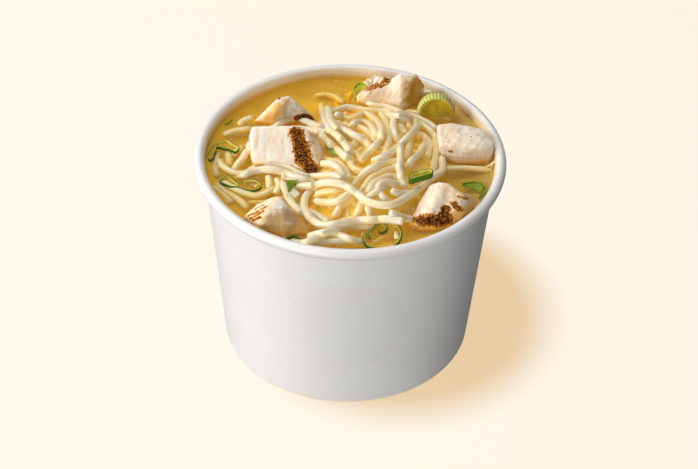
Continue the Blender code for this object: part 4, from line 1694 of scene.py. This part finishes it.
# The strands of the heap from the lowest up, as places seen on the broth, in millimetres.
STRANDS = (
    ("front_end", LAST, ((-16.5, -49), (-6.5, -48), (3, -47))),
    ("front_shred", NEITHER, ((-14.5, -48.5), (-11, -46), (-8, -44.5), (-5.5, -43.5), (-2.5, -44.5), (0.5, -46))),
    ("front_run", NEITHER, ((-9, -43), (-5.5, -41.5), (-1, -40), (3, -39.5), (7, -39))),
    ("under_loop_1", LAST, ((1, -23.5), (-1, -25.5), (-3, -28), (-4, -31), (-5, -34.5))),
    ("under_loop_2", NEITHER, ((-14, -31.5), (-11, -34), (-7.5, -36.5))),
    ("under_loop_3", NEITHER, ((4.5, -27), (3.5, -30), (3, -33))),
    ("under_loop_4", NEITHER, ((7, -29), (7.5, -31.5), (7.5, -33.5))),
    ("in_loop_1", FIRST, ((-12, -22), (-9.5, -20.5), (-7, -19.5), (-4.5, -19))),
    ("in_loop_2", FIRST, ((-12.5, -25.5), (-9.5, -26), (-6.5, -26), (-4, -25), (-2, -23), (-0.5, -21))),
    ("left_dip", NEITHER, ((-23.5, -18), (-22.5, -21.5), (-21.5, -24.5), (-19.5, -28), (-17, -32.5))),
    ("behind_bend", NEITHER, ((-9.5, -1.5), (-7, -2), (-3.5, -4), (-1, -9), (0, -13))),
    ("left_bend", NEITHER, ((-9.5, -3.5), (-7, -3.5), (-5.5, -4.5), (-3.5, -7), (-2.5, -10.5), (-3, -14))),
    ("left_bend_2", NEITHER, ((-11.5, -11), (-8.5, -10.5), (-5.5, -10.5), (-3.5, -11.5))),
    ("left_run_low", NEITHER, ((-30, -5.5), (-26, -6), (-22.5, -7), (-19, -9.5), (-16, -11.5))),
    ("deep_gap", NEITHER, ((22, 12), (21.5, 6.5), (20.5, 1))),
    ("thin_1", NEITHER, ((17, 27.5), (18, 23), (19, 19.5), (20, 16.5))),
    ("thin_2", NEITHER, ((19, 25), (21, 23), (22, 19.5))),
    ("centre_s", NEITHER, (
        (-5, 17), (-2, 15), (0, 13.5), (2, 11.5), (1.5, 9), (0, 5.5), (-0.5, 2), (0, -2), (1, -5.5), (3, -7.5),
        (5.5, -7.5), (8, -6),
    )),
    ("fan_2", NEITHER, ((16, -5.5), (13.5, -6.5), (10, -9), (7, -13), (5, -18.5))),
    ("fan_1", NEITHER, ((16.5, -1), (13.5, -2), (10, -4), (6.5, -7), (4, -11), (2, -15.5))),
    ("fan_3", NEITHER, ((17.5, -11.5), (15.5, -10), (13.5, -10.5), (11, -12.5), (8.5, -15), (7, -19.5))),
    ("fan_4", NEITHER, ((7, -22.5), (9, -20), (10.5, -18.5))),
    ("curl", NEITHER, ((14.5, -14), (13.5, -13.5), (11.5, -14.5), (10.5, -17), (11, -20), (12.5, -23), (14.5, -25.5))),
    ("nest_end", FIRST, ((15, -18), (17, -19.5), (19.5, -20), (22, -18.5))),
    ("right_outer", NEITHER, (
        (7.5, 34), (9.5, 33), (12.5, 32.5), (16, 31), (19, 29), (21.5, 27.5), (24, 26.5), (26.5, 25), (30, 22),
        (32, 19),
    )),
    ("right_edge", NEITHER, (
        (27.5, 21), (30, 18), (31.5, 14), (31.5, 9), (31.5, 3.5), (31, -1.5), (30.5, -5.5), (29.5, -9),
    )),
    ("right_inner", BOTH, ((24.5, 14.5), (25.5, 15.5), (27, 15), (28.5, 12.5), (29.5, 9), (29, 6), (28.5, 2))),
    ("right_dip", NEITHER, ((27, 8), (25.5, 4), (23.5, 1), (21.5, -2.5), (20.5, -5))),
    ("under_ring", NEITHER, ((23.5, -13), (26, -12.5), (28, -10.5))),
    ("crown_inner_3", NEITHER, ((-6.5, 19), (-4, 18), (-2, 17), (0.5, 15), (3, 13), (5.5, 10.5), (7, 7.5))),
    ("crown_inner_1", NEITHER, ((-4.5, 21), (-3, 20), (0, 19.5), (3, 19), (6, 17), (7.5, 14.5), (9, 11.5))),
    ("crown_inner_2", NEITHER, ((1, 21), (2.5, 22.5), (5, 22.5), (7, 21), (8.5, 18), (9.5, 15))),
    ("crown_side", NEITHER, ((12, 26.5), (13, 23), (14, 18.5), (14.5, 14), (14, 9.5), (13, 4))),
    ("hook_left", NEITHER, ((-10.5, 26), (-10, 23), (-9, 20.5), (-7.5, 18))),
    ("back_arc", NEITHER, (
        (-6.5, 29), (-4, 30.5), (-1.5, 31.5), (1.5, 31), (5, 30), (9, 29.5), (11.5, 29.5), (13.5, 29.5), (15, 27.5),
        (16, 24), (16, 20), (16.5, 16.5), (17.5, 11.5),
    )),
    ("hook", FIRST, ((-9, 31), (-8.5, 27.5), (-8, 24), (-7, 21), (-5.5, 18))),
    ("left_arch", NEITHER, (
        (-1.5, 1), (-4, 4), (-6.5, 7), (-9, 10.5), (-10.5, 13), (-10.5, 14.5), (-9.5, 16), (-7.5, 16.5), (-5.5, 14.5),
        (-3.5, 11.5), (-2, 8.5), (-0.5, 5),
    )),
    ("right_sweep", LAST, (
        (18, 27), (20.5, 27), (22.5, 26), (24.5, 23.5), (24.5, 20), (23, 16.5), (21.5, 14), (19.5, 11), (18, 8),
        (15.5, 4.5), (12.5, 1.5), (9.5, -0.5), (8, -1.5),
    )),
    ("crown", BOTH, (
        (-6, 26.5), (-4, 26), (-2, 24.5), (0.5, 24), (2.5, 26), (4, 27.5), (6, 27.5), (8, 25.5), (10, 22.5), (11.5, 18),
        (11.5, 14.5), (10.5, 10.5), (8, 6), (6, 2.5), (3.5, -2),
    )),
    ("front_lump", FIRST, ((14.5, -31), (16, -31.5), (18.5, -33), (21, -34))),
    ("big_loop", FIRST, (
        (19.5, -35.5), (17, -35), (13.5, -34.5), (9.5, -35), (4, -35.5), (-1, -37), (-6.5, -38.5), (-10.5, -38),
        (-13.5, -35), (-15.5, -30.5), (-16, -26.5), (-15.5, -23), (-13.5, -19), (-11.5, -16), (-9, -14.5), (-6, -14.5),
        (-2.5, -15.5), (0.5, -18), (3, -20.5), (5.5, -23.5), (8, -25.5), (11, -26.5), (14.5, -26.5), (17.5, -25),
        (20.5, -22), (23.5, -19), (26.5, -15), (29, -11.5), (31.5, -9), (33.5, -6.5), (34, -3.5), (34, 0),
    )),
    ("post", LAST, ((18.5, 5.5), (18.5, 2.5), (18.5, -0.5), (18, -4.5), (18.5, -8.5), (19, -12), (20, -16))),
    ("left_run", NEITHER, (
        (-38, -11.5), (-36.5, -10), (-34.5, -9), (-31.5, -8), (-28, -8), (-25, -9), (-21.5, -11), (-18, -12.5),
        (-15, -14), (-12.5, -16),
    )),
    ("back_left_low", NEITHER, ((-25.5, 14.5), (-22, 17), (-18, 17), (-14, 16.5), (-11, 16))),
    ("back_left_run", NEITHER, (
        (-27.5, 19), (-25.5, 21.5), (-23, 23), (-20, 23.5), (-17, 22), (-14.5, 20.5), (-11, 18.5),
    )),
    ("left_cross", NEITHER, ((-19.5, -18), (-16.5, -17), (-14, -16.5))),
)

# Strands under the broth, each with how deep its middle is, in millimetres.
SUNK = (
    (2.2, ((-49, 0), (-49, -4), (-49, -9), (-48, -14.5))), (2.3, ((-45, 2), (-44.5, -3.5), (-44, -8))),
    (1.3, ((-38, 2.5), (-39.5, -2.5), (-41, -6), (-42.5, -10))), (2.4, ((-40, 4), (-42, 0.5), (-43.5, -1.5))),
    (1.2, ((-48, -4), (-47, -6.5), (-45, -9), (-42, -11), (-39.5, -11.5), (-37, -10.5), (-35, -8), (-32, -6))),
    (1.0, ((-29.5, -12.5), (-29, -16), (-29, -19.5))), (1.1, ((-26.5, -14), (-25.5, -18), (-26.5, -22.5))),
    (1.3, (
        (-46, -16.5), (-42.5, -19.5), (-39.5, -21.5), (-36.5, -23), (-34, -24), (-31.5, -23.5), (-28.5, -21),
        (-27, -19),
    )),
    (2.0, ((-48, -18), (-46.5, -20), (-44, -23), (-41, -25.5), (-38, -28.5), (-36, -32))),
    (2.4, ((-48.5, -20), (-46.5, -22.5), (-44.5, -25), (-42, -29.5))),
    (1.5, ((-37.5, 15.8), (-43, 14.2), (-47.5, 11.2))), (1.2, ((-37.5, 23), (-40.4, 20.8), (-42, 17.8))),
    (2.9, ((-13.9, 36.8), (-10, 37.8), (-6.5, 36.8), (-2.8, 33))), (1.7, ((20, 29), (27, 28), (34, 27), (38, 25))),
    (1.4, ((34, -6), (42, -5), (52, -5.5))), (1.2, ((27, 41.5), (33, 42.3), (37.5, 39.5), (42, 33))),
    (2.0, ((40, 33), (44, 30), (48, 24.5))),
)

# Places where the broth is clear, as (x, y, radius), in millimetres.
CLEAR_PLACES = (
    (-24, 42, 22), (-6, 44, 14), (-46, 12, 12), (45, -15, 13), (-38, -33, 7), (4, 46, 12), (20, 46, 14), (40, 30, 12),
)


@dataclass
class Noodles:
    """The noodle heap: strands laid one on another over a core of held broth, and those under the broth."""

    step: float = 0.9 * MM
    sides: int = 14
    rest: float = 0.6 * MM
    stack: float = 0.8
    afloat: float = 0.25 * MM
    tallest: float = 3.8 * MM
    steepest: float = 0.7 * MM
    sag: float = 0.25 * MM
    settling_rounds: int = 3
    bridging_rounds: int = 10
    dive_steps: int = 6
    dive_slope: float = 0.7 * MM
    fillers: int = 40
    filler_lengths: Place = (36 * MM, 66 * MM)
    filler_depths: Place = (0.7 * MM, 2.0 * MM)
    filler_lowest: float = -6 * MM
    filler_gap: float = 4 * MM
    filler_bend: float = 95
    filler_sway: float = 0.5 * MM
    shortest: int = 7
    core_drop: float = 0.9 * MM
    # How strong the golden colour low in the heap is, partly held broth and partly painted warm shade, and the heights
    # over the core where it fades.
    broth_and_shade_strength: float = 0.8
    broth_and_shade_heights: Place = (3.6 * MM, -0.2 * MM)
    sunk_fillers: int = 34
    sunk_lengths: Place = (25 * MM, 60 * MM)
    sunk_depths: Place = (3.0 * MM, 5.4 * MM)
    sunk_reach: float = 46 * MM
    sunk_gap: float = 3 * MM
    sunk_bend: float = 70
    sunk_sway: float = 0.9 * MM
    clearing: float = 5 * MM
    dip_from: float = 0.36
    dip_slope: float = 3.08
    wander_step: float = 1.5 * MM
    wander_hold: float = 0.93
    wander_change: float = 0.175
    core_thickness: float = 8 * MM
    core_rings: tuple[float, ...] = (0.066,) * 14
    seed: int = 11
    finish: NoodleFinish = field(default_factory=NoodleFinish)
    laid: list[Vector] = field(default_factory=list)

    def reach(self, angle: float) -> float:
        """Finds how far the heap's core reaches at an angle.

        Args:
            angle: The angle from +X, in radians.

        Returns:
            The reach.
        """
        spot = angle / (2 * math.pi) % 1 * len(HEAP_REACHES)
        first = int(spot)
        four = [HEAP_REACHES[(first + k) % len(HEAP_REACHES)] for k in (-1, 0, 1, 2)]
        return between(*four, spot - first) * MM

    def dome(self, share: float) -> float:
        """Returns the core's height over the broth at a share of its reach."""
        return CORE_EDGE + (CORE_TOP - CORE_EDGE) * (1 - min(share, 1.15) ** CORE_ROUNDNESS)

    def core_height(self, point: Vector) -> float:
        """Returns the core's height over the broth at a point."""
        across = point.xy - HEAP_CENTRE.xy
        return self.dome(across.length / self.reach(math.atan2(across.y, across.x)))

    def height_over(self, point: Vector, tree: kdtree.KDTree) -> float:
        """Finds the lowest that a strand's middle can be.

        Args:
            point: A point on the strand.
            tree: The points of the strands below, laid flat.

        Returns:
            The height over the broth.
        """
        bed = max(self.afloat, self.core_height(point) + self.rest)
        lowest = bed
        for _, index, apart in tree.find_range((point.x, point.y, 0), 2 * NOODLE_RADIUS):
            lift = self.stack * math.sqrt(max(0, 4 * NOODLE_RADIUS**2 - apart**2))
            lowest = max(lowest, self.laid[index].z - BROTH_LEVEL + lift)
        return min(lowest, bed + self.tallest)

    def lengthened(self, seen: np.ndarray, ends: Ends) -> tuple[np.ndarray, int, int]:
        """Lengthens a strand straight on at the ends that dive.

        Args:
            seen: Where it is seen on the broth, in metres.
            ends: Which of its ends lie open.

        Returns:
            The longer line, and how many points it has more at its start and at its end.
        """
        first_open, last_open = ends.value
        extra = np.arange(1, self.dive_steps + 1)[:, None] * self.step
        parts, head, tail = [seen], 0, 0
        if not first_open:
            away = seen[0] - seen[2]
            parts.insert(0, (seen[0] + extra * away / np.linalg.norm(away))[::-1])
            head = self.dive_steps
        if not last_open:
            away = seen[-1] - seen[-3]
            parts.append(seen[-1] + extra * away / np.linalg.norm(away))
            tail = self.dive_steps
        return np.vstack(parts), head, tail

    def settle(self, run: np.ndarray, ends: Ends) -> list[Vector]:
        """Lets a strand down onto the core and the strands laid before it, and lays what of it shows.

        Args:
            run: Where it is seen on the broth, in metres.
            ends: Which of its ends lie open.

        Returns:
            The points of its middle.
        """
        tree = kdtree.KDTree(len(self.laid))
        for index, point in enumerate(self.laid):
            tree.insert((point.x, point.y, 0), index)
        tree.balance()
        heights = np.zeros(len(run))
        for _ in range(self.settling_rounds):
            points = [raised(x, y, height) for (x, y), height in zip(run, heights)]
            needed = np.array([self.height_over(point, tree) for point in points])
            heights = needed.copy()
            for _ in range(self.bridging_rounds):
                bridged = (heights[:-2] + 2 * heights[1:-1] + heights[2:]) / 4
                heights[1:-1] = np.maximum(needed[1:-1] - self.sag, bridged)
            for way in (1, -1):
                side = heights[::way]
                for place in range(1, len(side)):
                    side[place] = max(side[place], side[place - 1] - self.steepest)
        seen, head, tail = self.lengthened(run, ends)
        first_dip = self.dive_slope * np.arange(head, 0, -1)
        last_dip = self.dive_slope * np.arange(1, tail + 1)
        heights = np.concatenate([heights[0] - first_dip, heights, heights[-1] - last_dip])
        points = [raised(x, y, height) for (x, y), height in zip(seen, heights)]
        self.laid += points[head:len(points) - tail]
        return points

    def strand(self, name: str, points: Sequence[Vector], sides: int = 0) -> Piece:
        """Makes a strand of uneven thickness with rounded ends.

        Args:
            name: Its name.
            points: Its middle.
            sides: How many sides it has, or 0 for the usual number.

        Returns:
            Its mesh.
        """
        shift = Vector((len(points) * 0.37, 0, 0))
        radii = [NOODLE_RADIUS * (1 + 0.08 * noise.noise(p * 160 + shift)) for p in points]
        ends = ((0.55, 0.0), (0.85, 0.28), (0.97, 0.6))
        first, last = points[0], points[-1]
        head = [first.lerp(points[1], share) for _, share in ends]
        tail = [last.lerp(points[-2], share) for _, share in reversed(ends)]
        rounded = [r * radii[0] for r, _ in ends] + radii[1:-1] + [r * radii[-1] for r, _ in reversed(ends)]
        return add_tube(name, [*head, *points[1:-1], *tail], rounded, sides or self.sides)

    def wander(self, dice: random.Random, start: Vector, length: float, bend: float) -> list[Vector]:
        """Draws a flat wandering line.

        Args:
            dice: Where its chances come from.
            start: Where it starts.
            length: How long it is.
            bend: Its sharpest bend, in turns of a radian in a metre.

        Returns:
            Its points.
        """
        heading, turn = dice.uniform(0, 2 * math.pi), dice.uniform(-bend, bend)
        line = [start.copy()]
        for _ in range(int(length / self.wander_step)):
            turn = self.wander_hold * turn + self.wander_change * dice.uniform(-bend, bend)
            heading += turn * self.wander_step
            line.append(line[-1] + bearing(heading) * self.wander_step)
        return line

    def build_fillers(self, dice: random.Random) -> list[Piece]:
        """Makes the strands that fill the heap below those that show best.

        Args:
            dice: Where their chances come from.

        Returns:
            Their meshes.
        """
        made = []
        for number in range(self.fillers):
            angle = dice.uniform(0, 2 * math.pi)
            start = HEAP_CENTRE + bearing(angle) * self.reach(angle) * dice.random() ** 0.6
            depth = dice.uniform(*self.filler_depths)
            line = []
            for point in self.wander(dice, start, dice.uniform(*self.filler_lengths), self.filler_bend):
                if point.xy.length > wall_radius(BROTH_LEVEL) - self.filler_gap:
                    break
                sway = self.filler_sway * noise.noise(point * 120 + UP * number)
                height = max(self.core_height(point), self.filler_lowest) - depth + sway
                line.append(Vector((point.x, point.y, BROTH_LEVEL + height)))
            if len(line) >= self.shortest:
                made.append(self.strand(f"filler_{number}", line, 10))
        return made

    def build_sunk(self, dice: random.Random) -> list[Piece]:
        """Makes the strands that lie under the broth.

        Args:
            dice: Where their chances come from.

        Returns:
            Their meshes.
        """
        made = []
        for number, (depth, places) in enumerate(SUNK):
            run = smooth_run(np.array(places) * MM, self.step)
            line = []
            for share, (x, y) in zip(np.linspace(0, 1, len(run)), run):
                dip = self.dip_slope * max(0, abs(share - 0.5) - self.dip_from)
                sway = 0.3 * noise.noise(Vector((x, y, depth)) * 150)
                line.append(raised(x, y, -(depth + dip + sway) * MM))
            made.append(self.strand(f"sunk_{number}", line))
        for number in range(self.sunk_fillers):
            angle, share = dice.uniform(0, 2 * math.pi), math.sqrt(dice.random())
            start = bearing(angle) * share * self.sunk_reach
            depth = dice.uniform(*self.sunk_depths)
            line = []
            for point in self.wander(dice, start, dice.uniform(*self.sunk_lengths), self.sunk_bend):
                if point.xy.length > wall_radius(BROTH_LEVEL) - self.sunk_gap:
                    break
                clear = max(
                    1 - smooth_step((point.xy / MM - Vector((x, y))).length, radius * 0.7, radius * 1.2)
                    for x, y, radius in CLEAR_PLACES
                )
                sway = self.sunk_sway * noise.noise(point * 90 + UP * number)
                line.append(Vector((point.x, point.y, BROTH_LEVEL - depth + sway - self.clearing * clear)))
            if len(line) >= self.shortest:
                made.append(self.strand(f"deep_{number}", line, 8))
        return made

    def build_core(self) -> Piece:
        """Makes the broth held between the strands of the heap, as a low dome.

        Returns:
            Its mesh.
        """
        core = add_disc("Held_broth", 72, 1, self.core_rings)
        bpy.ops.mesh.poke()
        close_edit()
        for vertex in core.data.vertices:
            angle, share = math.atan2(vertex.co.y, vertex.co.x), vertex.co.xy.length
            flat = HEAP_CENTRE + bearing(angle) * self.reach(angle) * share
            height = self.dome(share) - self.core_drop + 0.3 * MM * noise.noise(flat * 200)
            vertex.co = flat + UP * (BROTH_LEVEL + height)
        edit(core, everything=False)
        bpy.ops.mesh.select_non_manifold(extend=False)
        bpy.ops.mesh.extrude_region_move(TRANSFORM_OT_translate={"value": -UP * self.core_thickness})
        bpy.ops.mesh.edge_face_add()
        close_edit()
        tidy_mesh(core)
        shade_round(core, 60)
        return core

    def build(self) -> list[Piece]:
        """Makes the heap, the strands under the broth and the broth held between them.

        Returns:
            The meshes of the strands.
        """
        dice = random.Random(self.seed)
        noodle = self.finish.material()
        shown = []
        for name, ends, places in STRANDS:
            points = self.settle(smooth_run(np.array(places) * MM, self.step), ends)
            shown.append(self.strand(name, points))
        heap = join(shown + self.build_fillers(dice), "Noodle_heap")
        tidy_mesh(heap, 0.000002)
        # Marks the strands golden low in the heap: held broth and painted warm shade.
        over = [vertex.co.z - BROTH_LEVEL - self.core_height(vertex.co) for vertex in heap.data.vertices]
        set_attribute(heap, "broth_and_warm_shade", [self.broth_and_shade_strength * smooth_step(high, *self.broth_and_shade_heights) for high in over])
        shade_round(heap, 60)
        dress(heap, noodle, Slot.NOODLES, "noodles")
        sunk = join(self.build_sunk(dice), "Noodles_in_broth")
        tidy_mesh(sunk, 0.000002)
        shade_round(sunk, 60)
        dress(sunk, noodle, Slot.NOODLES)
        core = self.build_core()
        # Held broth with a painted glow, and painted shade towards the right.
        held = HeldBrothFinish("held broth", (0.93, 0.66, 0.10), (0.86, 0.55, 0.04), painted_glow=0.17)
        dress(core, held.material(), Slot.BROTH)
        return [heap, sunk]


# Broth


@dataclass
class Broth:
    """The broth: a clear body whose surface climbs a little wherever it meets something, and its cloudy depths."""

    cell: float = 0.75 * MM
    into_wall: float = 0.3 * MM
    depth: float = 13.0 * MM
    bed_depth: float = 5.2 * MM
    bed_lip: float = 3.4 * MM
    lip_width: float = 10 * MM
    climb: float = 0.5 * MM
    climb_reach: float = 0.65 * MM
    bed_rings: int = 12
    bed_thickness: float = 1.0 * MM
    bubble_count: int = 60
    bubble_sizes: Place = (0.16, 0.5)
    bubble_spread: Place = (5.5, 4.5)
    bubble_gap: float = 1.5 * MM
    bubble_lift: float = 0.02 * MM
    clusters: Run = ((-45, 14), (-38, -14), (-30, -25), (-20, 34), (-6, 44), (22, -43), (-5, -46))
    seed: int = 5
    finish: BrothFinish = field(default_factory=BrothFinish)

    def obstacles(self, pieces: Sequence[Piece]) -> bvhtree.BVHTree:
        """Gathers everything that the broth's surface meets.

        Args:
            pieces: The pieces that lie in the broth.

        Returns:
            A search tree of their faces.
        """
        points: list[Vector] = []
        faces: list[tuple[int, ...]] = []
        for piece in pieces:
            start = len(points)
            points += [v.co for v in piece.data.vertices]
            faces += [tuple(start + k for k in p.vertices) for p in piece.data.polygons]
        return bvhtree.BVHTree.FromPolygons(points, faces)

    def surface_height(self, point: Vector, tree: bvhtree.BVHTree) -> float:
        """Finds how far the surface is over the broth's level.

        Args:
            point: A point at that level.
            tree: What the surface meets.

        Returns:
            The height there.
        """
        found = tree.find_nearest(point, 4 * self.climb_reach)
        apart = found[3] if found[0] is not None else 4 * self.climb_reach
        apart = min(apart, max(0.0, wall_radius(BROTH_LEVEL) - point.xy.length))
        ripple = 0.06 * MM * noise.noise(point * 110)
        return self.climb * math.exp(-apart / self.climb_reach) + ripple

    def build_body(self, tree: bvhtree.BVHTree) -> Piece:
        """Makes the broth's clear body.

        Args:
            tree: What its surface meets.

        Returns:
            A closed body that reaches into the tub's wall.
        """
        radius = wall_radius(BROTH_LEVEL) + self.into_wall
        cells = round(2 * (radius + self.cell) / self.cell)
        half = cells * self.cell / 2

        def place(across: float, up: float) -> Vector:
            """Returns a point of the flat grid, a share across it and a share up."""
            return Vector(((across * 2 - 1) * half, (up * 2 - 1) * half, BROTH_LEVEL))

        body = add_grid("Broth", cells, cells, place)
        select_faces(body, lambda face: face.center.xy.length > radius - 0.2 * self.cell)
        bpy.ops.mesh.delete(type="FACE")
        bpy.ops.mesh.select_mode(type="VERT")
        bpy.ops.mesh.select_all(action="DESELECT")
        bpy.ops.mesh.select_non_manifold(extend=False)
        close_edit()
        for vertex in body.data.vertices:
            if vertex.select:
                vertex.co.xy = vertex.co.xy.normalized() * radius
            vertex.co.z += self.surface_height(vertex.co, tree)
        shrink = wall_radius(BROTH_LEVEL - self.depth) / wall_radius(BROTH_LEVEL)
        bpy.ops.object.mode_set(mode="EDIT")
        bpy.ops.mesh.extrude_region_move(TRANSFORM_OT_translate={"value": (0, 0, -self.depth)})
        bpy.ops.transform.resize(value=(shrink, shrink, 1), center_override=(0, 0, BROTH_LEVEL))
        bpy.ops.mesh.edge_face_add()
        close_edit()
        tidy_mesh(body)
        shade_round(body, 60)
        return body

    def build_bed(self) -> Piece:
        """Makes the cloudy depth of the broth, below which nothing shows.

        Returns:
            Its mesh.
        """
        radius = wall_radius(BROTH_LEVEL - self.bed_depth) + self.into_wall
        bed = add_disc("Broth_depths", 96, radius, [radius / (self.bed_rings + 1)] * self.bed_rings)
        bpy.ops.mesh.poke()
        close_edit()
        for vertex in bed.data.vertices:
            roll = 0.8 * MM * noise.noise(vertex.co * 60)
            lip = self.bed_lip * smooth_step(vertex.co.xy.length, radius - self.lip_width, radius)
            vertex.co.z = BROTH_LEVEL - self.bed_depth + roll + lip
        apply_modifier(bed, "SOLIDIFY", thickness=self.bed_thickness, offset=-1)
        shade_round(bed, 60)
        return bed

    def build_bubbles(self) -> Piece:
        """Scatters the small bubbles that float on the broth.

        Returns:
            Their mesh.
        """
        dice = random.Random(self.seed)
        bpy.ops.object.select_all(action="DESELECT")
        bpy.ops.mesh.primitive_uv_sphere_add(segments=12, ring_count=8, radius=1)
        first = name_piece(bpy.context.object, "Bubbles")
        select_faces(first, lambda face: face.center.z < 0)
        bpy.ops.mesh.delete(type="FACE")
        close_edit()
        bubbles = []
        for _ in range(self.bubble_count):
            places = zip(dice.choice(self.clusters), self.bubble_spread)
            spot = Vector((*(dice.gauss(place, spread) for place, spread in places), 0)) * MM
            if spot.length > wall_radius(BROTH_LEVEL) - self.bubble_gap:
                continue
            size = dice.uniform(*self.bubble_sizes) * MM
            bubble = first.copy()
            bubble.data = first.data.copy()
            bpy.context.scene.collection.objects.link(bubble)
            for vertex in bubble.data.vertices:
                vertex.co = vertex.co * size + spot + UP * (BROTH_LEVEL + self.bubble_lift)
            bubbles.append(bubble)
        bpy.data.objects.remove(first)
        joined = join(bubbles, "Bubbles")
        shade_round(joined, 60)
        return joined

    def build(self, pieces: Sequence[Piece]) -> Piece:
        """Makes the broth.

        Args:
            pieces: What lies in it.

        Returns:
            Its clear body.
        """
        tree = self.obstacles(pieces)
        body = self.build_body(tree)
        dress(body, self.finish.material(), Slot.BROTH, "broth")
        # The depths, with a stronger painted glow that fills their shade, and painted shade towards the right.
        deep = HeldBrothFinish("broth depths", (0.62, 0.52, 0.24), (0.55, 0.44, 0.17), edging=1.0, painted_glow=0.38)
        dress(self.build_bed(), deep.material(), Slot.BROTH)
        film = FilmFinish("bubble film", (1.0, 0.93, 0.72), 0.3, 0.05)
        dress(self.build_bubbles(), film.material(), Slot.BROTH)
        return body


# The studio


@dataclass(frozen=True)
class Lamp:
    """One soft light.

    Attributes:
        name: Its name.
        azimuth: The side that it stands on, in degrees from +X.
        elevation: How high it stands, in degrees.
        power: Its power in watts.
        size: How wide it is.
        colour: Its colour.
    """

    name: str
    azimuth: float
    elevation: float
    power: float
    size: float = 1.6
    colour: Colour = (1.0, 0.985, 0.96)


@dataclass
class Studio:
    """The pale floor, the soft light from the left, and the photograph's camera."""

    floor_size: float = 12.0
    distance: float = 3.0
    lamps: tuple[Lamp, ...] = (
        Lamp("key", 180, 20, 61.5),
        Lamp("front", 245, 8, 70),
        Lamp("back left", 120, 60, 41),
        Lamp("back right", 60, 40, 3),
    )
    floor_lamp: Lamp = Lamp("floor light", 195, 75.5, 400, 0.7)
    sky: Colour = (1.0, 0.98, 0.95)
    sky_strength: float = 0.19
    no_glare: str = "lit by the others"
    finish: FloorFinish = field(default_factory=FloorFinish)

    def add_lamp(self, lamp: Lamp) -> Piece:
        """Adds a square soft light that faces the tub.

        Args:
            lamp: The light.

        Returns:
            Its object.
        """
        light = bpy.data.lights.new(lamp.name, "AREA")
        light.size = lamp.size
        light.energy = lamp.power
        light.color = lamp.colour
        obj = bpy.data.objects.new(lamp.name, light)
        bpy.context.scene.collection.objects.link(obj)
        elevation = math.radians(lamp.elevation)
        way = bearing(math.radians(lamp.azimuth)) * math.cos(elevation) + UP * math.sin(elevation)
        obj.location = way * self.distance + UP * 0.05
        obj.rotation_euler = way.to_track_quat("Z", "Y").to_euler()
        return obj

    def add_floor(self) -> Piece:
        """Adds the floor, which doesn't light the tub.

        Returns:
            The floor.
        """
        bpy.ops.object.select_all(action="DESELECT")
        bpy.ops.mesh.primitive_plane_add(size=self.floor_size)
        floor = name_piece(bpy.context.object, "Floor")
        floor.data.materials.append(self.finish.material())
        floor.visible_diffuse = False
        floor.visible_glossy = False
        return floor

    def share_light(self, floor: Piece) -> None:
        """Lights the floor with its own light alone, and the tub with the others.

        Args:
            floor: The floor.
        """
        only_floor = bpy.data.collections.new("lit by the floor light")
        only_floor.objects.link(floor)
        self.add_lamp(self.floor_lamp).light_linking.receiver_collection = only_floor
        for name, lamps in (("lit by the key", self.lamps[:1]), (self.no_glare, self.lamps[1:])):
            others = bpy.data.collections.new(name)
            others.objects.link(floor)
            others.collection_objects[0].light_linking.link_state = "EXCLUDE"
            for lamp in lamps:
                self.add_lamp(lamp).light_linking.receiver_collection = others

    def keep_glare_off(self, piece: Piece) -> None:
        """Keeps every lamp but the key from shining back from a piece.

        Args:
            piece: The clear piece.
        """
        others = bpy.data.collections[self.no_glare]
        others.objects.link(piece)
        others.collection_objects[-1].light_linking.link_state = "EXCLUDE"

    def add_camera(self) -> None:
        """Adds the photograph's camera."""
        forward = (-EYE).normalized()
        right = Vector((1, 0, 0))
        up = right.cross(forward)
        turns = ((PAN, lambda: up), (TILT, lambda: right), (ROLL, lambda: forward))
        for angle, axis in turns:
            turn = Matrix.Rotation(math.radians(angle), 3, axis())
            forward, right, up = turn @ forward, turn @ right, turn @ up
        lens = bpy.data.cameras.new("camera")
        lens.lens = FOCAL_PIXELS / PHOTO_WIDTH * SENSOR
        lens.sensor_width = SENSOR
        lens.clip_start = 0.01
        camera = bpy.data.objects.new("camera", lens)
        bpy.context.scene.collection.objects.link(camera)
        pose = Matrix((right, up, -forward)).transposed().to_4x4()
        pose.translation = EYE
        camera.matrix_world = pose
        bpy.context.scene.camera = camera

    def build(self) -> None:
        """Sets the studio up."""
        self.share_light(self.add_floor())
        world = bpy.data.worlds.new("studio")
        world.use_nodes = True
        background = world.node_tree.nodes["Background"]
        background.inputs["Color"].default_value = (*self.sky, 1)
        background.inputs["Strength"].default_value = self.sky_strength
        bpy.context.scene.world = world
        bpy.context.scene.view_settings.view_transform = "Standard"
        self.add_camera()


def main() -> None:
    """Builds the tub and its soup, and sets the studio up round them."""
    logging.basicConfig(level=logging.INFO, format="%(message)s")
    studio = Studio()
    studio.build()
    Tub().build()
    chicken = Chicken().build()
    scallions = Scallions().build()
    noodles = Noodles().build()
    studio.keep_glare_off(Broth().build([*chicken, *scallions, *noodles]))


if __name__ == "__main__":
    main()
